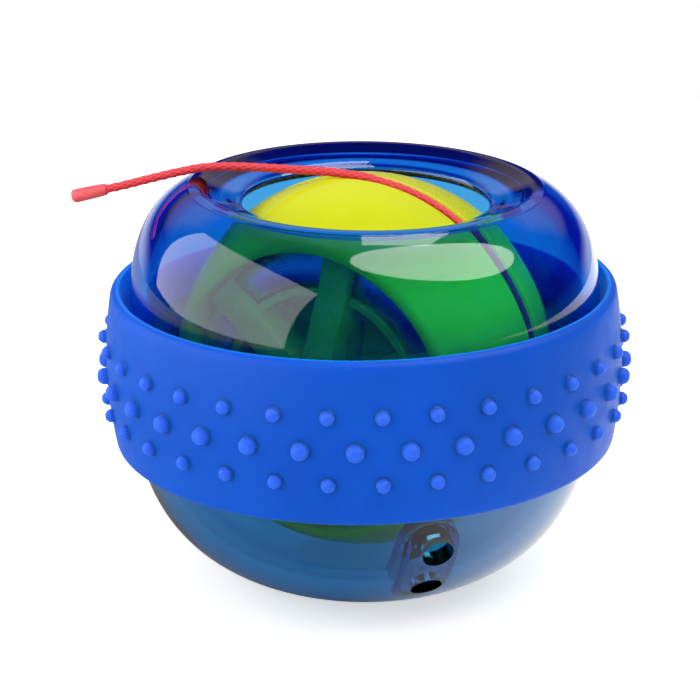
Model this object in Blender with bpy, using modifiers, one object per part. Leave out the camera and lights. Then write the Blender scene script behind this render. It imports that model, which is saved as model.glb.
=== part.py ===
# Gyroscopic wrist ball: two clear shells, a silicone grip band, a carrier ring in a race,
# a spoked flywheel rotor on a steel axle, and the starter cord wound in the rotor's groove.
# Units are metres, +Z is up, and the origin is the centre of the flat foot on the table.
# All lengths below are millimetres; MM turns them into metres.

import bpy
import bmesh
from math import acos, asin, atan2, cos, pi, radians, sin, sqrt, tan
from mathutils import Matrix, Vector

MM = 0.001

# Clearances
SEAT_GAP = 0.3               # between pieces that are pressed, snapped or laid together
RUNNING_GAP = 0.3            # between pieces that move past each other

# Rotor
ROTOR_RADIUS = 26.1          # radius of the ball-shaped flywheel
RIM_HALF_WIDTH = 16.2        # from the groove plane to the flywheel's side edge
RIM_EDGE = 1.1               # width of the flat edge round each side recess
WEB_HALF = 4.0               # from the groove plane to the floor of each side recess
RECESS_CORNER = 0.8          # fillet between the recess wall and its floor
GROOVE_TURNS = 2.6           # turns of cord that the groove holds
GROOVE_SIDE_GAP = 0.35       # from the cord to each wall of the groove
GROOVE_LIP = 0.35            # chamfer at the mouth of the groove
AXLE_BEARING = radians(27)   # the axle points this far left of the front

# Weight rings and hub caps in the rotor's side recesses
WEIGHT_WIDTH = 4.5           # radial width of each steel ring
WEIGHT_DEPTH = 8.0
WEIGHT_CHAMFER = 0.6
CAP_SKIRT = 1.2              # wall of the hub cap's outer skirt
CAP_DEPTH = 8.4              # height of the skirt
CAP_FLOOR = 2.0              # thickness of the floor between the ribs
CAP_BOSS_RADIUS = 4.2
CAP_BOSS_REACH = 15.4        # height of the boss over the recess floor
CAP_SPOKES = 6
CAP_SPOKE_BEARING = radians(80)  # of the first spoke, up from level
CAP_SPOKE_WIDTH = 4.2
CAP_SPOKE_DEPTH = 1.9        # thickness of a spoke where it crosses the steel ring
CAP_SPOKE_RISE = 1.6         # how far it climbs from there to the boss

# Axle and its collars
AXLE_RADIUS = 1.2
AXLE_TIP_RADIUS = 0.8
AXLE_TIP_CHAMFER = 0.25
COLLAR_WALL = 1.3
COLLAR_SINK = 3.0            # how deep a collar sits in the hub cap's boss

# Carrier ring and race
RING_WIDTH = 2.5             # radial width
NOTCH_DEPTH = 1.9            # how deep the axle's notch cuts into the ring
RACE_THICKNESS = 1.6
RACE_CORNER = 0.3

# Housing
SPIGOT_WALL = 1.0            # lower shell's collar, inside the joint
SKIRT_WALL = 1.3             # upper shell's skirt, outside the joint
SHELL_WALL = 2.4
LEDGE_WIDTH = 1.85           # shelf inside each shell that backs a race ring
LEDGE_THICKNESS = 1.1
LEDGE_SLOPE = 1.2            # underside of the shelf blends into the wall over this
UPPER_REACH = 27.3           # height at which the upper outline would close
UPPER_FULLNESS = 4.1         # exponent of the upper outline, 2 is a circle
LOWER_REACH = 31.2
LOWER_FULLNESS = 2.74
FOOT_RADIUS = 10.0           # flat that the ball stands on
CREST_INSET = 8.5            # the crown turns inward this far inside the widest radius
CREST_RISE = 0.2             # the crown's top over the point where it turns
MOUTH_RADIUS = 16.85         # narrowest radius of the top opening
LIP_WIDTH = 2.0              # the rolled lip, from the mouth outward
LIP_DROP = 1.35              # the lip's outer edge lies this far under the crown
LIP_FALL = 1.3               # the mouth lies this far under the lip's outer edge
LIP_THICKNESS = 0.9          # thickness of the wall at the mouth
HOLLOW_INSET = 10.5          # the inside follows the crown this far inward
HOLLOW_RISE = 1.15           # and then comes down by this to the lip's underside

# Lanyard eyelet moulded in the lower shell
EYELET_BEARING = radians(19.4)   # right of the front
EYELET_DIP = radians(32.7)       # its axis points this far below level
EYELET_PITCH = 7.9               # between the two holes
EYELET_HOLE_RADIUS = 2.15
EYELET_HOLE_LEAN = radians(10)   # each hole is square to the shell where it lies
EYELET_POCKET_WIDTH = 7.4
EYELET_WALL = 0.9
EYELET_ASIDE = 0.4               # the pocket lies this far left of the holes
EYELET_HEADROOM = 3.3            # from the upper hole to the top of the pocket
EYELET_FOOTROOM = 4.0
EYELET_SKIN = 2.6                # shell left over the pocket, at its middle
EYELET_POCKET_DEPTH = 1.9
EYELET_ROOT = 0.9                # how far the pocket's wall is rooted in the shell

# Grip band
BAND_THICKNESS = 2.9
BAND_TOP = 11.6
BAND_BOTTOM = 10.5
BAND_BULGE = 1.0                 # how much the band swells between its edges
BAND_FLARE = 0.7                 # the upper lip stands this far off the shell
BAND_FLARE_LENGTH = 2.6
BAND_TOP_ROUND = 0.9
BAND_BOTTOM_ROUND = 0.7
NUBS_PER_ROW = 32
NUB_BEARING = radians(3.6)       # bearing of one nub of the outer rows
NUB_ROW_PITCH = 4.55
BIG_NUB_RADIUS = 1.15
BIG_NUB_HEIGHT = 1.4
SMALL_NUB_RADIUS = 0.92
SMALL_NUB_HEIGHT = 1.15
NUB_ROOT = 0.1                   # how far the middle of each nub is sunk in the band

# Starter cord
CORD_DIAMETER = 1.2
CORD_LAY_GAP = 0.45              # between one turn of the cord and the next
CORD_PROUD = 0.4                 # the last turn stands this far over the rotor
CORD_LEAVES_AT = radians(84)     # angle round the groove where the cord lifts off
LOOP_STEPS = 24                  # straight pieces in one turn of the winding
CAP_LENGTH = 4.5
CAP_RADIUS = 0.95
CAP_TAPER = 0.1
TIP_LENGTH = 3.0
TIP_RADIUS = 0.6
START_BEND = 2.4                 # radius on which the cord dips towards the rotor's start hole
START_SLANT = radians(35)        # the start hole slants this much from the groove's floor
START_DIP = 0.2                  # the groove is this much deeper, for the dip
TIP_FLUSH = 0.1                  # the tip's outer end lies this far under the groove's floor

# The free end's route over the lip, from the centre of the ball: right, back and up
CORD_ROUTE = [
    (-1.9, 1.0, 26.2),
    (-4.8, 2.15, 26.25),
    (-8.6, 3.05, 26.25),
    (-13.0, 3.5, 26.35),
    (-17.8, 3.6, 26.5),
    (-22.2, 3.6, 26.35),
    (-26.0, 3.8, 25.55),
    (-29.8, 4.2, 24.5),
    (-33.2, 4.55, 23.5),
    (-36.2, 4.85, 22.7),
]

# Facets
SHELL_STEPS = 48
BAND_STEPS = 64
ROTOR_STEPS = 40
RING_STEPS = 36
HUB_STEPS = 30
SMALL_STEPS = 14
CREASE = radians(35)         # edges sharper than this stay crisp
PIVOT_MARK = 10.0            # size of a pivot's cross in the viewport

# Sizes worked out from the ones above
ring_inner = ROTOR_RADIUS + CORD_PROUD + 2 * SEAT_GAP
ring_outer = ring_inner + RING_WIDTH
ring_half = AXLE_TIP_RADIUS
spigot_inner = ring_outer + RUNNING_GAP
spigot_outer = spigot_inner + SPIGOT_WALL
skirt_inner = spigot_outer + SEAT_GAP
housing_radius = skirt_inner + SKIRT_WALL
race_half = ring_half + RUNNING_GAP
race_outer = spigot_inner - SEAT_GAP
race_top = race_half + RACE_THICKNESS
wall_radius = housing_radius - SHELL_WALL
ledge_radius = race_outer - LEDGE_WIDTH
ledge_height = race_top + SEAT_GAP
ledge_back = ledge_height + LEDGE_THICKNESS
wall_start = ledge_back + LEDGE_SLOPE
crest_radius = housing_radius - CREST_INSET
hollow_radius = housing_radius - HOLLOW_INSET
lip_radius = MOUTH_RADIUS + LIP_WIDTH
cord_radius = CORD_DIAMETER / 2
cord_pitch = CORD_DIAMETER + CORD_LAY_GAP
last_turn_radius = ROTOR_RADIUS + CORD_PROUD - cord_radius
groove_half = cord_radius + GROOVE_SIDE_GAP
groove_floor = last_turn_radius - cord_pitch * GROOVE_TURNS - cord_radius - SEAT_GAP - START_DIP
tip_reach = 2 * CORD_DIAMETER + TIP_LENGTH
recess_radius = sqrt(ROTOR_RADIUS ** 2 - RIM_HALF_WIDTH ** 2) - RIM_EDGE
weight_outer = recess_radius - SEAT_GAP
weight_inner = weight_outer - WEIGHT_WIDTH
cap_outer = weight_inner - SEAT_GAP
seat_floor = WEB_HALF + SEAT_GAP
axle_bore = AXLE_RADIUS + SEAT_GAP
collar_outer = axle_bore + COLLAR_WALL
collar_bore = collar_outer + SEAT_GAP
collar_end = ring_inner - 2 * RUNNING_GAP
notch_radius = ring_inner + NOTCH_DEPTH
band_inner = housing_radius + SEAT_GAP
band_outer = band_inner + BAND_THICKNESS


equator = LOWER_REACH * (1 - (FOOT_RADIUS / housing_radius) ** LOWER_FULLNESS) ** (1 / LOWER_FULLNESS)
centre = Vector((0, 0, equator))


# Scene, materials and object helpers

def clear_scene():
    for item in list(bpy.data.objects):
        bpy.data.objects.remove(item, do_unlink=True)


def new_collection(name):
    group = bpy.data.collections.new(name)
    bpy.context.scene.collection.children.link(group)
    return group


def material(name, color, roughness, metallic=0.0, alpha=1.0):
    made = bpy.data.materials.new(name)
    made.use_nodes = True
    shader = made.node_tree.nodes["Principled BSDF"]
    shader.inputs["Base Color"].default_value = (*color, 1)
    shader.inputs["Roughness"].default_value = roughness
    shader.inputs["Metallic"].default_value = metallic
    shader.inputs["Alpha"].default_value = alpha
    return made


def place(name, mesh, finish, parent=None, group=None):
    item = bpy.data.objects.new(name, mesh)
    (group or parts).objects.link(item)
    if finish:
        mesh.materials.append(finish)
    if parent:
        item.parent = parent
    return item


def pivot(name, location, rotation=(0, 0, 0)):
    empty = bpy.data.objects.new(name, None)
    empty.location = location
    empty.rotation_euler = rotation
    empty.empty_display_size = PIVOT_MARK * MM
    parts.objects.link(empty)
    bpy.context.view_layer.update()
    return empty


def finish_meshes():
    """Apply each part's modifiers, then shade it smooth with its sharp edges kept crisp."""
    graph = bpy.context.evaluated_depsgraph_get()
    meshes = {item: bpy.data.meshes.new_from_object(item.evaluated_get(graph))
              for item in parts.objects if item.type == "MESH"}
    for item, mesh in meshes.items():
        item.modifiers.clear()
        item.data = mesh
        mesh.shade_smooth()
        mesh.set_sharp_from_angle(angle=CREASE)


def profile_mesh(name, outline, closed=True):
    count = len(outline)
    edges = [(i, (i + 1) % count) for i in range(count if closed else count - 1)]
    mesh = bpy.data.meshes.new(name)
    mesh.from_pydata([(r * MM, 0, z * MM) for r, z in outline], edges, [])
    return mesh


def turned(name, outline, finish, steps, parent=None, group=None, closed=True):
    """Revolve an outline of (radius, height) pairs, which runs down its outer side."""
    item = place(name, profile_mesh(name, outline, closed), finish, parent, group)
    screw = item.modifiers.new("Turn", "SCREW")
    screw.steps = steps
    screw.render_steps = steps
    screw.use_merge_vertices = True
    screw.merge_threshold = 0.000001
    return item


def cutter_finish(item):
    item.display_type = "WIRE"
    item.hide_render = True
    return item


def boolean(item, other, operation, name):
    step = item.modifiers.new(name, "BOOLEAN")
    step.operation = operation
    step.solver = "EXACT"
    step.object = other
    return step


# Outline helpers: every outline is a list of (radius, height) in millimetres

def arc(centre_point, radius, start, end, steps):
    cx, cy = centre_point
    angles = [start + (end - start) * i / steps for i in range(steps + 1)]
    return [(cx + radius * cos(a), cy + radius * sin(a)) for a in angles]


def filleted(corners, steps=3):
    """Round the corners of a closed outline; each corner is (radius, height, fillet)."""
    outline = []
    count = len(corners)
    for i, (x, y, fillet) in enumerate(corners):
        if fillet <= 0:
            outline.append((x, y))
            continue
        here = Vector((x, y))
        to_last = (Vector(corners[i - 1][:2]) - here).normalized()
        to_next = (Vector(corners[(i + 1) % count][:2]) - here).normalized()
        half = to_last.angle(to_next) / 2
        reach = fillet / tan(half)
        middle = here + (to_last + to_next).normalized() * fillet / sin(half)
        first = here + to_last * reach - middle
        turn = first.angle_signed(here + to_next * reach - middle)
        for k in range(steps + 1):
            spoke = Matrix.Rotation(-turn * k / steps, 2) @ first
            outline.append(tuple(middle + spoke))
    return outline


def spread(start, end, steps):
    return [start + (end - start) * i / steps for i in range(steps + 1)]


# Housing

def shell_side(radius, reach, fullness, start, end, steps):
    """Points of a shell's superellipse outline from one radius to another."""
    first = acos((start / radius) ** (fullness / 2))
    last = acos((end / radius) ** (fullness / 2))
    points = []
    for angle in spread(first, last, steps):
        points.append((radius * cos(angle) ** (2 / fullness), reach * sin(angle) ** (2 / fullness)))
    return points


def wall_only(points):
    """Leave out the points that the shelf for the race ring takes up."""
    return [(r, z) for r, z in points if z > wall_start + LEDGE_SLOPE]


def upper_shell(finish):
    outside = shell_side(housing_radius, UPPER_REACH, UPPER_FULLNESS, crest_radius, housing_radius, 8)
    crown = outside[0][1] + CREST_RISE
    lip_height = crown - LIP_DROP
    mouth_height = lip_height - LIP_FALL
    under_lip = mouth_height - LIP_THICKNESS
    inside = shell_side(wall_radius, UPPER_REACH - SHELL_WALL, UPPER_FULLNESS, wall_radius, hollow_radius, 6)
    outline = [
        (MOUTH_RADIUS, mouth_height - LIP_THICKNESS / 2),
        (MOUTH_RADIUS + LIP_WIDTH * 0.05, mouth_height + LIP_FALL * 0.2),
        (MOUTH_RADIUS + LIP_WIDTH * 0.4, mouth_height + LIP_FALL * 0.65),
        (lip_radius, lip_height),
        (lip_radius + (crest_radius - lip_radius) * 0.45, lip_height + LIP_DROP * 0.6),
        (lip_radius + (crest_radius - lip_radius) * 0.75, crown - CREST_RISE * 0.25),
    ]
    outline += outside[:-1]
    outline += [(housing_radius, SEAT_GAP / 2), (skirt_inner, SEAT_GAP / 2), (skirt_inner, ledge_height)]
    outline += [(ledge_radius, ledge_height), (ledge_radius, ledge_back), (wall_radius, wall_start)]
    outline += wall_only(inside)
    outline += [(lip_radius + LIP_WIDTH * 0.65, under_lip + HOLLOW_RISE), (lip_radius, under_lip + HOLLOW_RISE * 0.5),
                (MOUTH_RADIUS + LIP_WIDTH * 0.35, under_lip)]
    return turned("upper_shell", outline, finish, SHELL_STEPS, housing)


def lower_outline():
    """The lower shell's outline, worked out upside down and then turned over."""
    outside = shell_side(housing_radius, LOWER_REACH, LOWER_FULLNESS, housing_radius, FOOT_RADIUS, 9)
    inside = shell_side(wall_radius, LOWER_REACH - SHELL_WALL, LOWER_FULLNESS, FOOT_RADIUS, wall_radius, 7)
    outline = [(spigot_inner, -race_top), (spigot_outer, -race_top)]
    outline += [(spigot_outer, SEAT_GAP / 2), (housing_radius, SEAT_GAP / 2)]
    outline += outside[1:]
    outline += [(0, outside[-1][1]), (0, inside[0][1])]
    outline += wall_only(inside)
    outline += [(wall_radius, wall_start), (ledge_radius, ledge_back)]
    outline += [(ledge_radius, ledge_height), (spigot_inner, ledge_height)]
    return [(r, -z) for r, z in outline]


def eyelet_frame():
    """Where the eyelet sits: its axis points out of the shell, its second axis up the wall."""
    out = Vector((sin(EYELET_BEARING) * cos(EYELET_DIP), -cos(EYELET_BEARING) * cos(EYELET_DIP), -sin(EYELET_DIP)))
    side = Vector((cos(EYELET_BEARING), sin(EYELET_BEARING), 0))
    up = out.cross(side)
    slope = (tan(EYELET_DIP) * (LOWER_REACH / housing_radius) ** LOWER_FULLNESS) ** (1 / (LOWER_FULLNESS - 1))
    ratio = slope * housing_radius / LOWER_REACH
    radius = housing_radius / (1 + ratio ** LOWER_FULLNESS) ** (1 / LOWER_FULLNESS)
    point = Vector((radius * sin(EYELET_BEARING), -radius * cos(EYELET_BEARING), -radius * slope))
    frame = Matrix((side, up, out)).transposed().to_4x4()
    frame.translation = point * MM
    return frame


def slot_solid(name, width, above, below, top, bottom):
    """A bar with round ends, standing along the frame's out axis between two depths."""
    mesh = bpy.data.meshes.new(name)
    shape = bmesh.new()
    radius = width / 2
    ends = arc((0, above - radius), radius, 0, pi, 8) + arc((0, radius - below), radius, pi, 2 * pi, 8)
    ring = [shape.verts.new((x * MM, y * MM, bottom * MM)) for x, y in ends]
    face = shape.faces.new(ring)
    raised = bmesh.ops.extrude_face_region(shape, geom=[face])
    moved = [item for item in raised["geom"] if isinstance(item, bmesh.types.BMVert)]
    bmesh.ops.translate(shape, verts=moved, vec=(0, 0, (top - bottom) * MM))
    bmesh.ops.recalc_face_normals(shape, faces=shape.faces)
    shape.to_mesh(mesh)
    shape.free()
    return cutter_finish(place(name, mesh, None, housing, cutters))


def peg(name, radius, length, steps=SMALL_STEPS):
    mesh = bpy.data.meshes.new(name)
    shape = bmesh.new()
    bmesh.ops.create_cone(shape, cap_ends=True, segments=steps, radius1=radius * MM, radius2=radius * MM,
                          depth=length * MM)
    shape.to_mesh(mesh)
    shape.free()
    return mesh


def lower_shell(finish):
    shell = turned("lower_shell", lower_outline(), finish, SHELL_STEPS, housing)
    frame = eyelet_frame()
    above = EYELET_PITCH / 2 + EYELET_HEADROOM
    below = EYELET_PITCH / 2 + EYELET_FOOTROOM
    depth = EYELET_SKIN + EYELET_POCKET_DEPTH
    block = slot_solid("eyelet_block", EYELET_POCKET_WIDTH, above, below,
                       EYELET_ROOT - EYELET_SKIN, -depth - EYELET_WALL)
    hollow = slot_solid("eyelet_hollow", EYELET_POCKET_WIDTH - 2 * EYELET_WALL, above - EYELET_WALL,
                        below - EYELET_WALL, -EYELET_SKIN, -depth)
    aside = Matrix.Translation((-EYELET_ASIDE * MM, 0, 0))
    block.matrix_local = frame @ aside
    hollow.matrix_local = frame @ aside
    boolean(shell, block, "UNION", "Pocket wall")
    boolean(shell, hollow, "DIFFERENCE", "Pocket")
    for side, label in ((1, "upper"), (-1, "lower")):
        hole = place("eyelet_hole_" + label, peg("eyelet_hole", EYELET_HOLE_RADIUS, 2 * depth), None, housing, cutters)
        lean = Matrix.Rotation(-side * EYELET_HOLE_LEAN, 4, "X")
        start = Matrix.Translation((0, side * EYELET_PITCH / 2 * MM, 0))
        sink = Matrix.Translation((0, 0, (depth - EYELET_SKIN - EYELET_POCKET_DEPTH / 2) * MM))
        hole.matrix_local = frame @ start @ lean @ sink
        cutter_finish(hole)
        boolean(shell, hole, "DIFFERENCE", "Hole " + label)
    return shell


def race_ring(name, side, finish):
    bottom, top = sorted((race_half * side, race_top * side))
    corners = [(race_outer, top, RACE_CORNER), (race_outer, bottom, RACE_CORNER),
               (ring_inner, bottom, RACE_CORNER), (ring_inner, top, RACE_CORNER)]
    return turned(name, filleted(corners, 1), finish, RING_STEPS, housing)


# Grip band

def band_surface(height):
    middle = (BAND_TOP - BAND_BOTTOM) / 2
    half = (BAND_TOP + BAND_BOTTOM) / 2
    return band_outer - BAND_BULGE * ((height - middle) / half) ** 2


def nub_solid(shape, bearing, height, radius, rise, sides):
    spot = band_surface(height) - NUB_ROOT
    ball = bmesh.ops.create_uvsphere(shape, u_segments=sides, v_segments=4, radius=1)
    out = Vector((sin(bearing), -cos(bearing), 0))
    side = Vector((cos(bearing), sin(bearing), 0))
    up = Vector((0, 0, 1))
    for vert in ball["verts"]:
        x, y, z = vert.co
        local = side * x * radius + up * y * radius + out * z * rise
        vert.co = (out * spot + up * height + local) * MM


def band_nubs():
    mesh = bpy.data.meshes.new("band_nubs")
    shape = bmesh.new()
    step = 2 * pi / NUBS_PER_ROW
    for i in range(NUBS_PER_ROW):
        bearing = NUB_BEARING + step * i
        nub_solid(shape, bearing, NUB_ROW_PITCH, SMALL_NUB_RADIUS, SMALL_NUB_HEIGHT, 6)
        nub_solid(shape, bearing + step / 2, 0, BIG_NUB_RADIUS, BIG_NUB_HEIGHT, 8)
        nub_solid(shape, bearing, -NUB_ROW_PITCH, SMALL_NUB_RADIUS, SMALL_NUB_HEIGHT, 6)
    bmesh.ops.recalc_face_normals(shape, faces=shape.faces)
    shape.to_mesh(mesh)
    shape.free()
    return cutter_finish(place("band_nubs", mesh, None, housing, cutters))


def grip_band(finish):
    top_inner = band_inner + BAND_FLARE
    upper = [(band_surface(BAND_TOP), BAND_TOP, BAND_TOP_ROUND)]
    sides = [(band_surface(z), z, 0) for z in spread(BAND_TOP * 0.6, -BAND_BOTTOM * 0.6, 3)]
    lower = [(band_surface(BAND_BOTTOM), -BAND_BOTTOM, BAND_BOTTOM_ROUND), (band_inner, -BAND_BOTTOM, 0)]
    inner = [(band_inner, BAND_TOP - BAND_FLARE_LENGTH, 0), (top_inner, BAND_TOP, 0)]
    outline = filleted(upper + sides + lower + inner, 2)
    band = turned("grip_band", outline, finish, BAND_STEPS, housing)
    band.rotation_euler.z = NUB_BEARING
    boolean(band, band_nubs(), "UNION", "Nubs")
    return band


# Carrier ring

def carrier_ring(finish):
    corners = [(ring_outer, ring_half, RACE_CORNER), (ring_outer, -ring_half, RACE_CORNER),
               (ring_inner, -ring_half, RACE_CORNER), (ring_inner, ring_half, RACE_CORNER)]
    ring = turned("carrier_ring", filleted(corners, 1), finish, RING_STEPS, carrier)
    width = 2 * (AXLE_TIP_RADIUS + RUNNING_GAP)
    mesh = bpy.data.meshes.new("axle_notch")
    shape = bmesh.new()
    bmesh.ops.create_cube(shape, size=1)
    bmesh.ops.scale(shape, vec=(width * MM, 2 * notch_radius * MM, 4 * ring_half * MM), verts=shape.verts)
    shape.to_mesh(mesh)
    shape.free()
    notch = cutter_finish(place("axle_notch", mesh, None, carrier, cutters))
    notch.rotation_euler.z = -AXLE_BEARING
    boolean(ring, notch, "DIFFERENCE", "Axle notches")
    return ring


# The start hole: the cord's inner end dips out of the groove's floor into the rotor

def start_bend():
    """Points of the dip and the direction it ends in, as x and y in the groove plane."""
    angle = CORD_LEAVES_AT - 2 * pi * GROOVE_TURNS
    outward = Vector((cos(angle), sin(angle)))
    backward = Vector((sin(angle), -cos(angle)))
    first = outward * (last_turn_radius - cord_pitch * GROOVE_TURNS)
    points = []
    for turn in spread(0, START_SLANT, 3)[1:]:
        points.append(first + backward * START_BEND * sin(turn) - outward * START_BEND * (1 - cos(turn)))
    return points, backward * cos(START_SLANT) - outward * sin(START_SLANT)


def aim(item, start, direction):
    """Put item at start in the rotor's groove plane, its own Z along direction."""
    item.location = (start.x * MM, start.y * MM, 0)
    item.rotation_euler = (0, pi / 2, atan2(direction.y, direction.x))


def start_drill(name):
    points, direction = start_bend()
    reach = tip_reach + SEAT_GAP
    mesh = peg("start_hole", TIP_RADIUS + SEAT_GAP, reach + CORD_DIAMETER, 12)
    drill = place("start_hole_" + name, mesh, None, rotor, cutters)
    aim(drill, points[-1] + direction * (reach - CORD_DIAMETER) / 2, direction)
    return cutter_finish(drill)


def cord_tip(finish):
    """The stiff tip in the rotor's start hole, cut flush under the groove's floor."""
    points, direction = start_bend()
    round_off = TIP_RADIUS / 2
    outline = [(0, tip_reach), (TIP_RADIUS - round_off, tip_reach), (TIP_RADIUS, tip_reach - round_off),
               (TIP_RADIUS, 0), (0, 0)]
    tip = turned("cord_tip", outline, finish, SMALL_STEPS, rotor, closed=False)
    aim(tip, points[-1], direction)
    mesh = peg("floor_disc", groove_floor - TIP_FLUSH, 4 * CORD_DIAMETER, ROTOR_STEPS)
    disc = cutter_finish(place("floor_disc", mesh, None, rotor, cutters))
    boolean(tip, disc, "INTERSECT", "Flush end")
    return tip


# Rotor: each outline is (radius, distance along the axle from the groove plane)

def rotor_half(name, side, finish):
    zone_end = asin((RIM_HALF_WIDTH - 0.3) / ROTOR_RADIUS)
    zone_start = asin((groove_half + GROOVE_LIP) / ROTOR_RADIUS)
    zone = arc((0, 0), ROTOR_RADIUS, zone_end, zone_start, 7)
    boss = collar_outer
    outline = [(recess_radius, RIM_HALF_WIDTH), (recess_radius + RIM_EDGE * 0.7, RIM_HALF_WIDTH)]
    outline += zone
    outline += [(ROTOR_RADIUS - 1.2 * GROOVE_LIP, groove_half), (groove_floor, groove_half)]
    outline += [(groove_floor, SEAT_GAP / 2), (axle_bore, SEAT_GAP / 2)]
    outline += [(axle_bore, WEB_HALF), (boss, WEB_HALF)]
    outline += [(recess_radius - RECESS_CORNER, WEB_HALF), (recess_radius, WEB_HALF + RECESS_CORNER)]
    half = turned(name, outline, finish, ROTOR_STEPS, rotor)
    drill = start_drill(name)
    if side < 0:
        half.rotation_euler.x = pi
    boolean(half, drill, "DIFFERENCE", "Start hole")
    return half


def weight_ring(name, side, finish):
    top = seat_floor + WEIGHT_DEPTH
    corner = RECESS_CORNER
    outline = [(weight_inner, top - WEIGHT_CHAMFER), (weight_inner + WEIGHT_CHAMFER, top),
               (weight_outer - WEIGHT_CHAMFER, top), (weight_outer, top - WEIGHT_CHAMFER),
               (weight_outer, seat_floor + corner), (weight_outer - corner, seat_floor),
               (weight_inner, seat_floor)]
    ring = turned(name, outline, finish, ROTOR_STEPS, rotor)
    if side < 0:
        ring.rotation_euler.x = pi
    return ring


def cap_spoke(number):
    """One broad spoke: from the boss down to the skirt, and out over the steel ring."""
    start = CAP_BOSS_RADIUS - 0.8
    skirt = cap_outer - CAP_SKIRT / 2
    end = recess_radius - SEAT_GAP
    floor = seat_floor + CAP_FLOOR / 2
    under = seat_floor + WEIGHT_DEPTH + SEAT_GAP
    over = under + CAP_SPOKE_DEPTH
    mesh = bpy.data.meshes.new("cap_spoke")
    shape = bmesh.new()
    half = CAP_SPOKE_WIDTH / 2
    edge = [(start, floor), (skirt, floor), (skirt, under), (end, under), (end, over),
            (weight_inner, over), (start, over + CAP_SPOKE_RISE)]
    face = shape.faces.new([shape.verts.new((x * MM, -half * MM, z * MM)) for x, z in edge])
    raised = bmesh.ops.extrude_face_region(shape, geom=[face])
    moved = [item for item in raised["geom"] if isinstance(item, bmesh.types.BMVert)]
    bmesh.ops.translate(shape, verts=moved, vec=(0, 2 * half * MM, 0))
    bmesh.ops.recalc_face_normals(shape, faces=shape.faces)
    bearing = CAP_SPOKE_BEARING + 2 * pi * number / CAP_SPOKES
    bmesh.ops.rotate(shape, verts=shape.verts, matrix=Matrix.Rotation(bearing, 3, "Z"))
    shape.to_mesh(mesh)
    shape.free()
    return mesh


def hub_cap(name, side, finish):
    top = seat_floor + CAP_DEPTH
    boss_top = seat_floor + CAP_BOSS_REACH
    floor = seat_floor + CAP_FLOOR
    skirt_inner_radius = cap_outer - CAP_SKIRT
    corners = [(cap_outer, top, 0.3), (cap_outer, seat_floor, 0), (axle_bore, seat_floor, 0),
               (axle_bore, boss_top - COLLAR_SINK - SEAT_GAP, 0), (collar_bore, boss_top - COLLAR_SINK - SEAT_GAP, 0),
               (collar_bore, boss_top, 0), (CAP_BOSS_RADIUS, boss_top, 0.4), (CAP_BOSS_RADIUS, floor, 0),
               (skirt_inner_radius, floor, 0), (skirt_inner_radius, top, 0.3)]
    cap = turned(name, filleted(corners, 1), finish, HUB_STEPS, rotor)
    if side < 0:
        cap.rotation_euler.x = pi
    for number in range(CAP_SPOKES):
        spoke = place(f"{name}_spoke_{number}", cap_spoke(number), None, cap, cutters)
        cutter_finish(spoke)
        boolean(cap, spoke, "UNION", f"Spoke {number}")
    return cap


def axle(finish):
    shoulder = ring_inner - RUNNING_GAP
    tip = notch_radius - RUNNING_GAP
    chamfer = AXLE_TIP_CHAMFER
    outline = [(0, tip), (AXLE_TIP_RADIUS - chamfer, tip), (AXLE_TIP_RADIUS, tip - chamfer),
               (AXLE_TIP_RADIUS, shoulder), (AXLE_RADIUS, shoulder), (AXLE_RADIUS, -shoulder),
               (AXLE_TIP_RADIUS, -shoulder), (AXLE_TIP_RADIUS, chamfer - tip),
               (AXLE_TIP_RADIUS - chamfer, -tip), (0, -tip)]
    return turned("axle", outline, finish, SMALL_STEPS, rotor, closed=False)


def axle_collar(name, side, finish):
    foot = seat_floor + CAP_BOSS_REACH - COLLAR_SINK
    corners = [(collar_outer, collar_end, 0.3), (collar_outer, foot, 0), (axle_bore, foot, 0),
               (axle_bore, collar_end, 0)]
    collar = turned(name, filleted(corners, 2), finish, SMALL_STEPS, rotor)
    if side < 0:
        collar.rotation_euler.x = pi
    return collar


# Starter cord

def groove_point(x, y):
    """A point of the groove plane, x to the right and y up, from the centre of the ball."""
    return Vector((x * cos(AXLE_BEARING), -x * sin(AXLE_BEARING), y))


def winding_points():
    """The wound turns: a dip over the start hole, then a spiral that gains one pitch a turn."""
    dip, direction = start_bend()
    points = [groove_point(*spot) for spot in reversed(dip)]
    steps = round(GROOVE_TURNS * LOOP_STEPS)
    for left in spread(GROOVE_TURNS, 0, steps):
        angle = CORD_LEAVES_AT - 2 * pi * left
        radius = last_turn_radius - cord_pitch * left
        points.append(groove_point(radius * cos(angle), radius * sin(angle)))
    onward = (points[-1] - points[-2]).normalized()
    return points + [points[-1] + onward * CORD_DIAMETER]


def report_least_gap(points):
    """Print the least gap between the tube's own turns, measured on its points."""
    least = min((points[i] - points[j]).length
                for i in range(len(points)) for j in range(i + LOOP_STEPS // 2, len(points)))
    print(f"cord_winding: least gap to itself {least - CORD_DIAMETER:.2f} mm")


def smooth_route(knots, spacing):
    """A Catmull-Rom curve through the knots, read every spacing millimetres."""
    ends = [2 * knots[0] - knots[1]] + knots + [2 * knots[-1] - knots[-2]]
    fine = []
    for a, b, c, d in zip(ends, ends[1:], ends[2:], ends[3:]):
        for k in range(20):
            t = k / 20
            fine.append(0.5 * (2 * b + (c - a) * t + (2 * a - 5 * b + 4 * c - d) * t ** 2
                               + (3 * b - a - 3 * c + d) * t ** 3))
    fine.append(knots[-1])
    length = sum((q - p).length for p, q in zip(fine, fine[1:]))
    count = max(2, round(length / spacing))
    points, walked = [fine[0]], 0.0
    for p, q in zip(fine, fine[1:]):
        walked += (q - p).length
        if walked >= length / count * len(points) - 0.0001 and len(points) <= count:
            points.append(q)
    return points


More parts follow.
